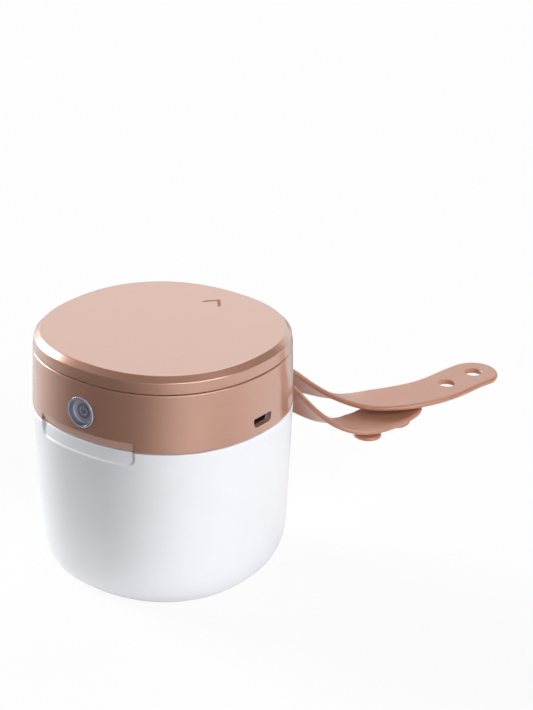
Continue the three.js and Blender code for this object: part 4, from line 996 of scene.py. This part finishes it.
# Strap.
# One moulding of blush silicone, folded round the upright pin. Each arm stands on edge at the fold and
# turns flat towards its tip. The long arm has two holes, and the short one two pegs that press into them.
strap_thickness, strap_neck, strap_width, strap_clearance = 1.8 * mm, 9.4 * mm, 16.8 * mm, 0.4 * mm
strap_level = rim_top - ear_thickness - strap_neck / 2 - strap_clearance
fold_radius = strap_pin_radius + running_gap + seat_gap + strap_thickness / 2
long_arm = dict(length=95.7 * mm, heading=[40, 2, 30, 60, 85, 67], climb=[1.3, -8.6, 1.4, -0.6, 0.8],
                twist=[0.04, 0.49], widen=[0.23, 0.6], side=1)
short_arm = dict(length=72 * mm, heading=[15, -2, -10.5, 20, 75, 83, 96], climb=[-2.7, -7.5, -13.3, 0.5, 9.5],
                 twist=[0.24, 0.64], widen=[0.33, 0.78], side=-1)
hole_radius, hole_pitch, first_hole, hole_round = 2.8 * mm, 13.6 * mm, 8.4 * mm, 0.35 * mm
peg_neck_radius, peg_neck_length, peg_head_radius, peg_head_height = 2.2 * mm, 2.6 * mm, 4.6 * mm, 2.2 * mm
peg_axis, neck_flare, neck_flare_height, cut_reach = 0.1 * mm, 0.3 * mm, 0.2 * mm, 3 * mm
peg_round_share, peg_crown = 0.35, ((0.7, 0.85), (0.45, 0.97))
almost_tip, edge_crowding = 0.9999, 0.9


def through(values, share):
    """Smooth curve through even knots (Catmull-Rom): cubic between knots, where each slope is half of the
    neighbours' span."""
    knots = np.asarray(values, float)
    last = len(knots) - 1
    place = np.clip(share, 0, 1) * last
    start = np.minimum(np.floor(place).astype(int), last - 1)
    t = place - start
    before, here = knots[np.maximum(start - 1, 0)], knots[start]
    after, beyond = knots[start + 1], knots[np.minimum(start + 2, last)]
    slope_here, slope_after = (after - before) / 2, (beyond - here) / 2
    return ((2 * here - 2 * after + slope_here + slope_after) * t ** 3
            + (-3 * here + 3 * after - 2 * slope_here - slope_after) * t ** 2 + slope_here * t + here)


def soft_step(value, low, high):
    """0 below low, 1 above high, 3t^2 - 2t^3 between."""
    t = np.clip((value - low) / (high - low), 0, 1)
    return t * t * (3 - 2 * t)


def arm_frames(length, heading, climb, twist, widen, side):
    """Places, edge and face directions, widths and distances past the tip's centre, at stations along one
    arm. The heading and climb are integrated from the pin, and the edge turns from upright to level."""
    tip_radius = strap_width / 2
    tip_centre = length - tip_radius
    straight = np.linspace(0, tip_centre, 130, endpoint=False)
    round_end = tip_centre + tip_radius * almost_tip * np.sin(np.linspace(0, np.pi / 2, 26))
    station = np.concatenate([straight, round_end])

    def forward_at(share):
        """Unit direction of the arm at a share of its length."""
        turn, rise = np.radians(through(heading, share)), np.radians(through(climb, share))
        return np.stack([np.cos(turn) * np.cos(rise), np.sin(turn) * np.cos(rise), np.sin(rise)], axis=-1)

    step = np.diff(station)
    middle = (station[1:] + station[:-1]) / 2
    root_turn = np.radians(heading[0])
    root_side = np.array([np.sin(root_turn), -np.cos(root_turn), 0])
    root = np.array([0, strap_y, strap_level]) - side * fold_radius * root_side
    moved = np.cumsum(forward_at(middle / length) * step[:, None], axis=0)
    share = station / length
    forward, turn = forward_at(share), np.radians(through(heading, share))
    right = np.stack([np.sin(turn), -np.cos(turn), 0 * turn], axis=-1)
    roll = np.pi / 2 * (1 - soft_step(share, *twist))
    edge = np.cos(roll)[:, None] * right + np.sin(roll)[:, None] * np.cross(right, forward)
    width = strap_neck + (strap_width - strap_neck) * soft_step(share, *widen)
    return dict(place=np.concatenate([[root], root + moved]), edge=edge, face=np.cross(edge, forward),
                width=width, past=np.maximum(0, station - tip_centre), station=station)


def strap_rings(place, edge, face, width, past):
    """Sections of the strap: a flat bar whose edge is a half round. The height above the middle is
    sqrt(h^2 - (h - d)^2) at a distance d inside the outline, so the round also runs about the tip."""
    half = strap_thickness / 2
    reach = np.sqrt(np.maximum((width / 2) ** 2 - past ** 2 * (width / strap_width) ** 2, 1e-12))
    spread = np.sin(np.linspace(-np.pi / 2, np.pi / 2, 29))
    spread = np.sign(spread) * np.abs(spread) ** edge_crowding
    across = reach[:, None] * spread[None, :]
    from_outline = width[:, None] / 2 - np.hypot(across, past[:, None])
    height = np.sqrt(np.maximum(half ** 2 - np.maximum(half - from_outline, 0) ** 2, 0))
    height[:, [0, -1]] = 0
    across = np.concatenate([across, across[:, -2:0:-1]], axis=1)
    height = np.concatenate([height, -height[:, -2:0:-1]], axis=1)
    return place[:, None] + across[..., None] * edge[:, None] + height[..., None] * face[:, None]


long_frames, short_frames = arm_frames(**long_arm), arm_frames(**short_arm)
turn = np.linspace(np.radians(short_arm["heading"][0]) - np.pi / 2,
                   np.radians(long_arm["heading"][0]) - 1.5 * np.pi, 40)[1:-1]
outward = np.stack([np.cos(turn), np.sin(turn), 0 * turn], axis=-1)
fold_frames = dict(
    place=np.array([0, strap_y, strap_level]) + fold_radius * outward,
    edge=np.tile([0.0, 0, 1], (len(turn), 1)),
    face=outward,
    width=np.full(len(turn), strap_neck),
    past=np.zeros(len(turn)),
)


def rings_of(frames, turned_over=False):
    """Rings of one run of the strap, the short arm's from tip to root with its faces swapped."""
    order = slice(None, None, -1 if turned_over else 1)
    face = -frames["face"] if turned_over else frames["face"]
    return strap_rings(frames["place"][order], frames["edge"][order], face[order], frames["width"][order],
                       frames["past"][order])


strap = finish_mesh(skin("carrying_strap", np.concatenate(
    [rings_of(short_frames, True), rings_of(fold_frames), rings_of(long_frames)])))


def at_distance(frames, length, distance):
    """Place, edge and face of an arm at a distance from its tip."""
    where = length - distance
    return [np.array([np.interp(where, frames["station"], frames[field][:, i]) for i in range(3)])
            for field in ("place", "edge", "face")]


half = strap_thickness / 2
neck_top = half + peg_neck_length
head_round = peg_head_height * peg_round_share
flare = [(hole_radius + hole_round * (1 - np.cos(t)), half - hole_round + hole_round * np.sin(t))
         for t in np.linspace(0, np.pi / 2, 6)]
flare += [(flare[-1][0], cut_reach)]
cutter = [(radius, -along) for radius, along in reversed(flare)] + flare
peg = [(peg_axis, half / 2), (peg_neck_radius, half / 2), (peg_neck_radius, neck_top - neck_flare_height),
       (peg_neck_radius + neck_flare, neck_top)]
peg += arc(peg_head_radius - head_round, neck_top + head_round, head_round, head_round, -90, 45, 10)
peg += [(peg_head_radius * out, neck_top + peg_head_height * up) for out, up in peg_crown]
peg += [(peg_axis, neck_top + peg_head_height)]
for distance in (first_hole, first_hole + hole_pitch):
    place, edge, face = at_distance(long_frames, long_arm["length"], distance)
    boolean(strap, "DIFFERENCE", turned("hole", cutter, place, face, edge))
    place, edge, face = at_distance(short_frames, short_arm["length"], distance)
    boolean(strap, "UNION", turned("peg", peg, place, -face * np.sign(face[2]), edge))
finish_mesh(strap, sharp_degrees=50)
blush_silicone = moulded("blush silicone", "#b67e65", 0.5, 0.25 * mm, 0.12, Subsurface_Weight=0.2,
                         Subsurface_Scale=1.5 * mm, Subsurface_Radius=(1.0, 0.45, 0.3), Coat_Weight=0.7,
                         Coat_Roughness=0.3, Coat_IOR=1.6)
dress(strap, blush_silicone, "strap", "blush_silicone", "strap")
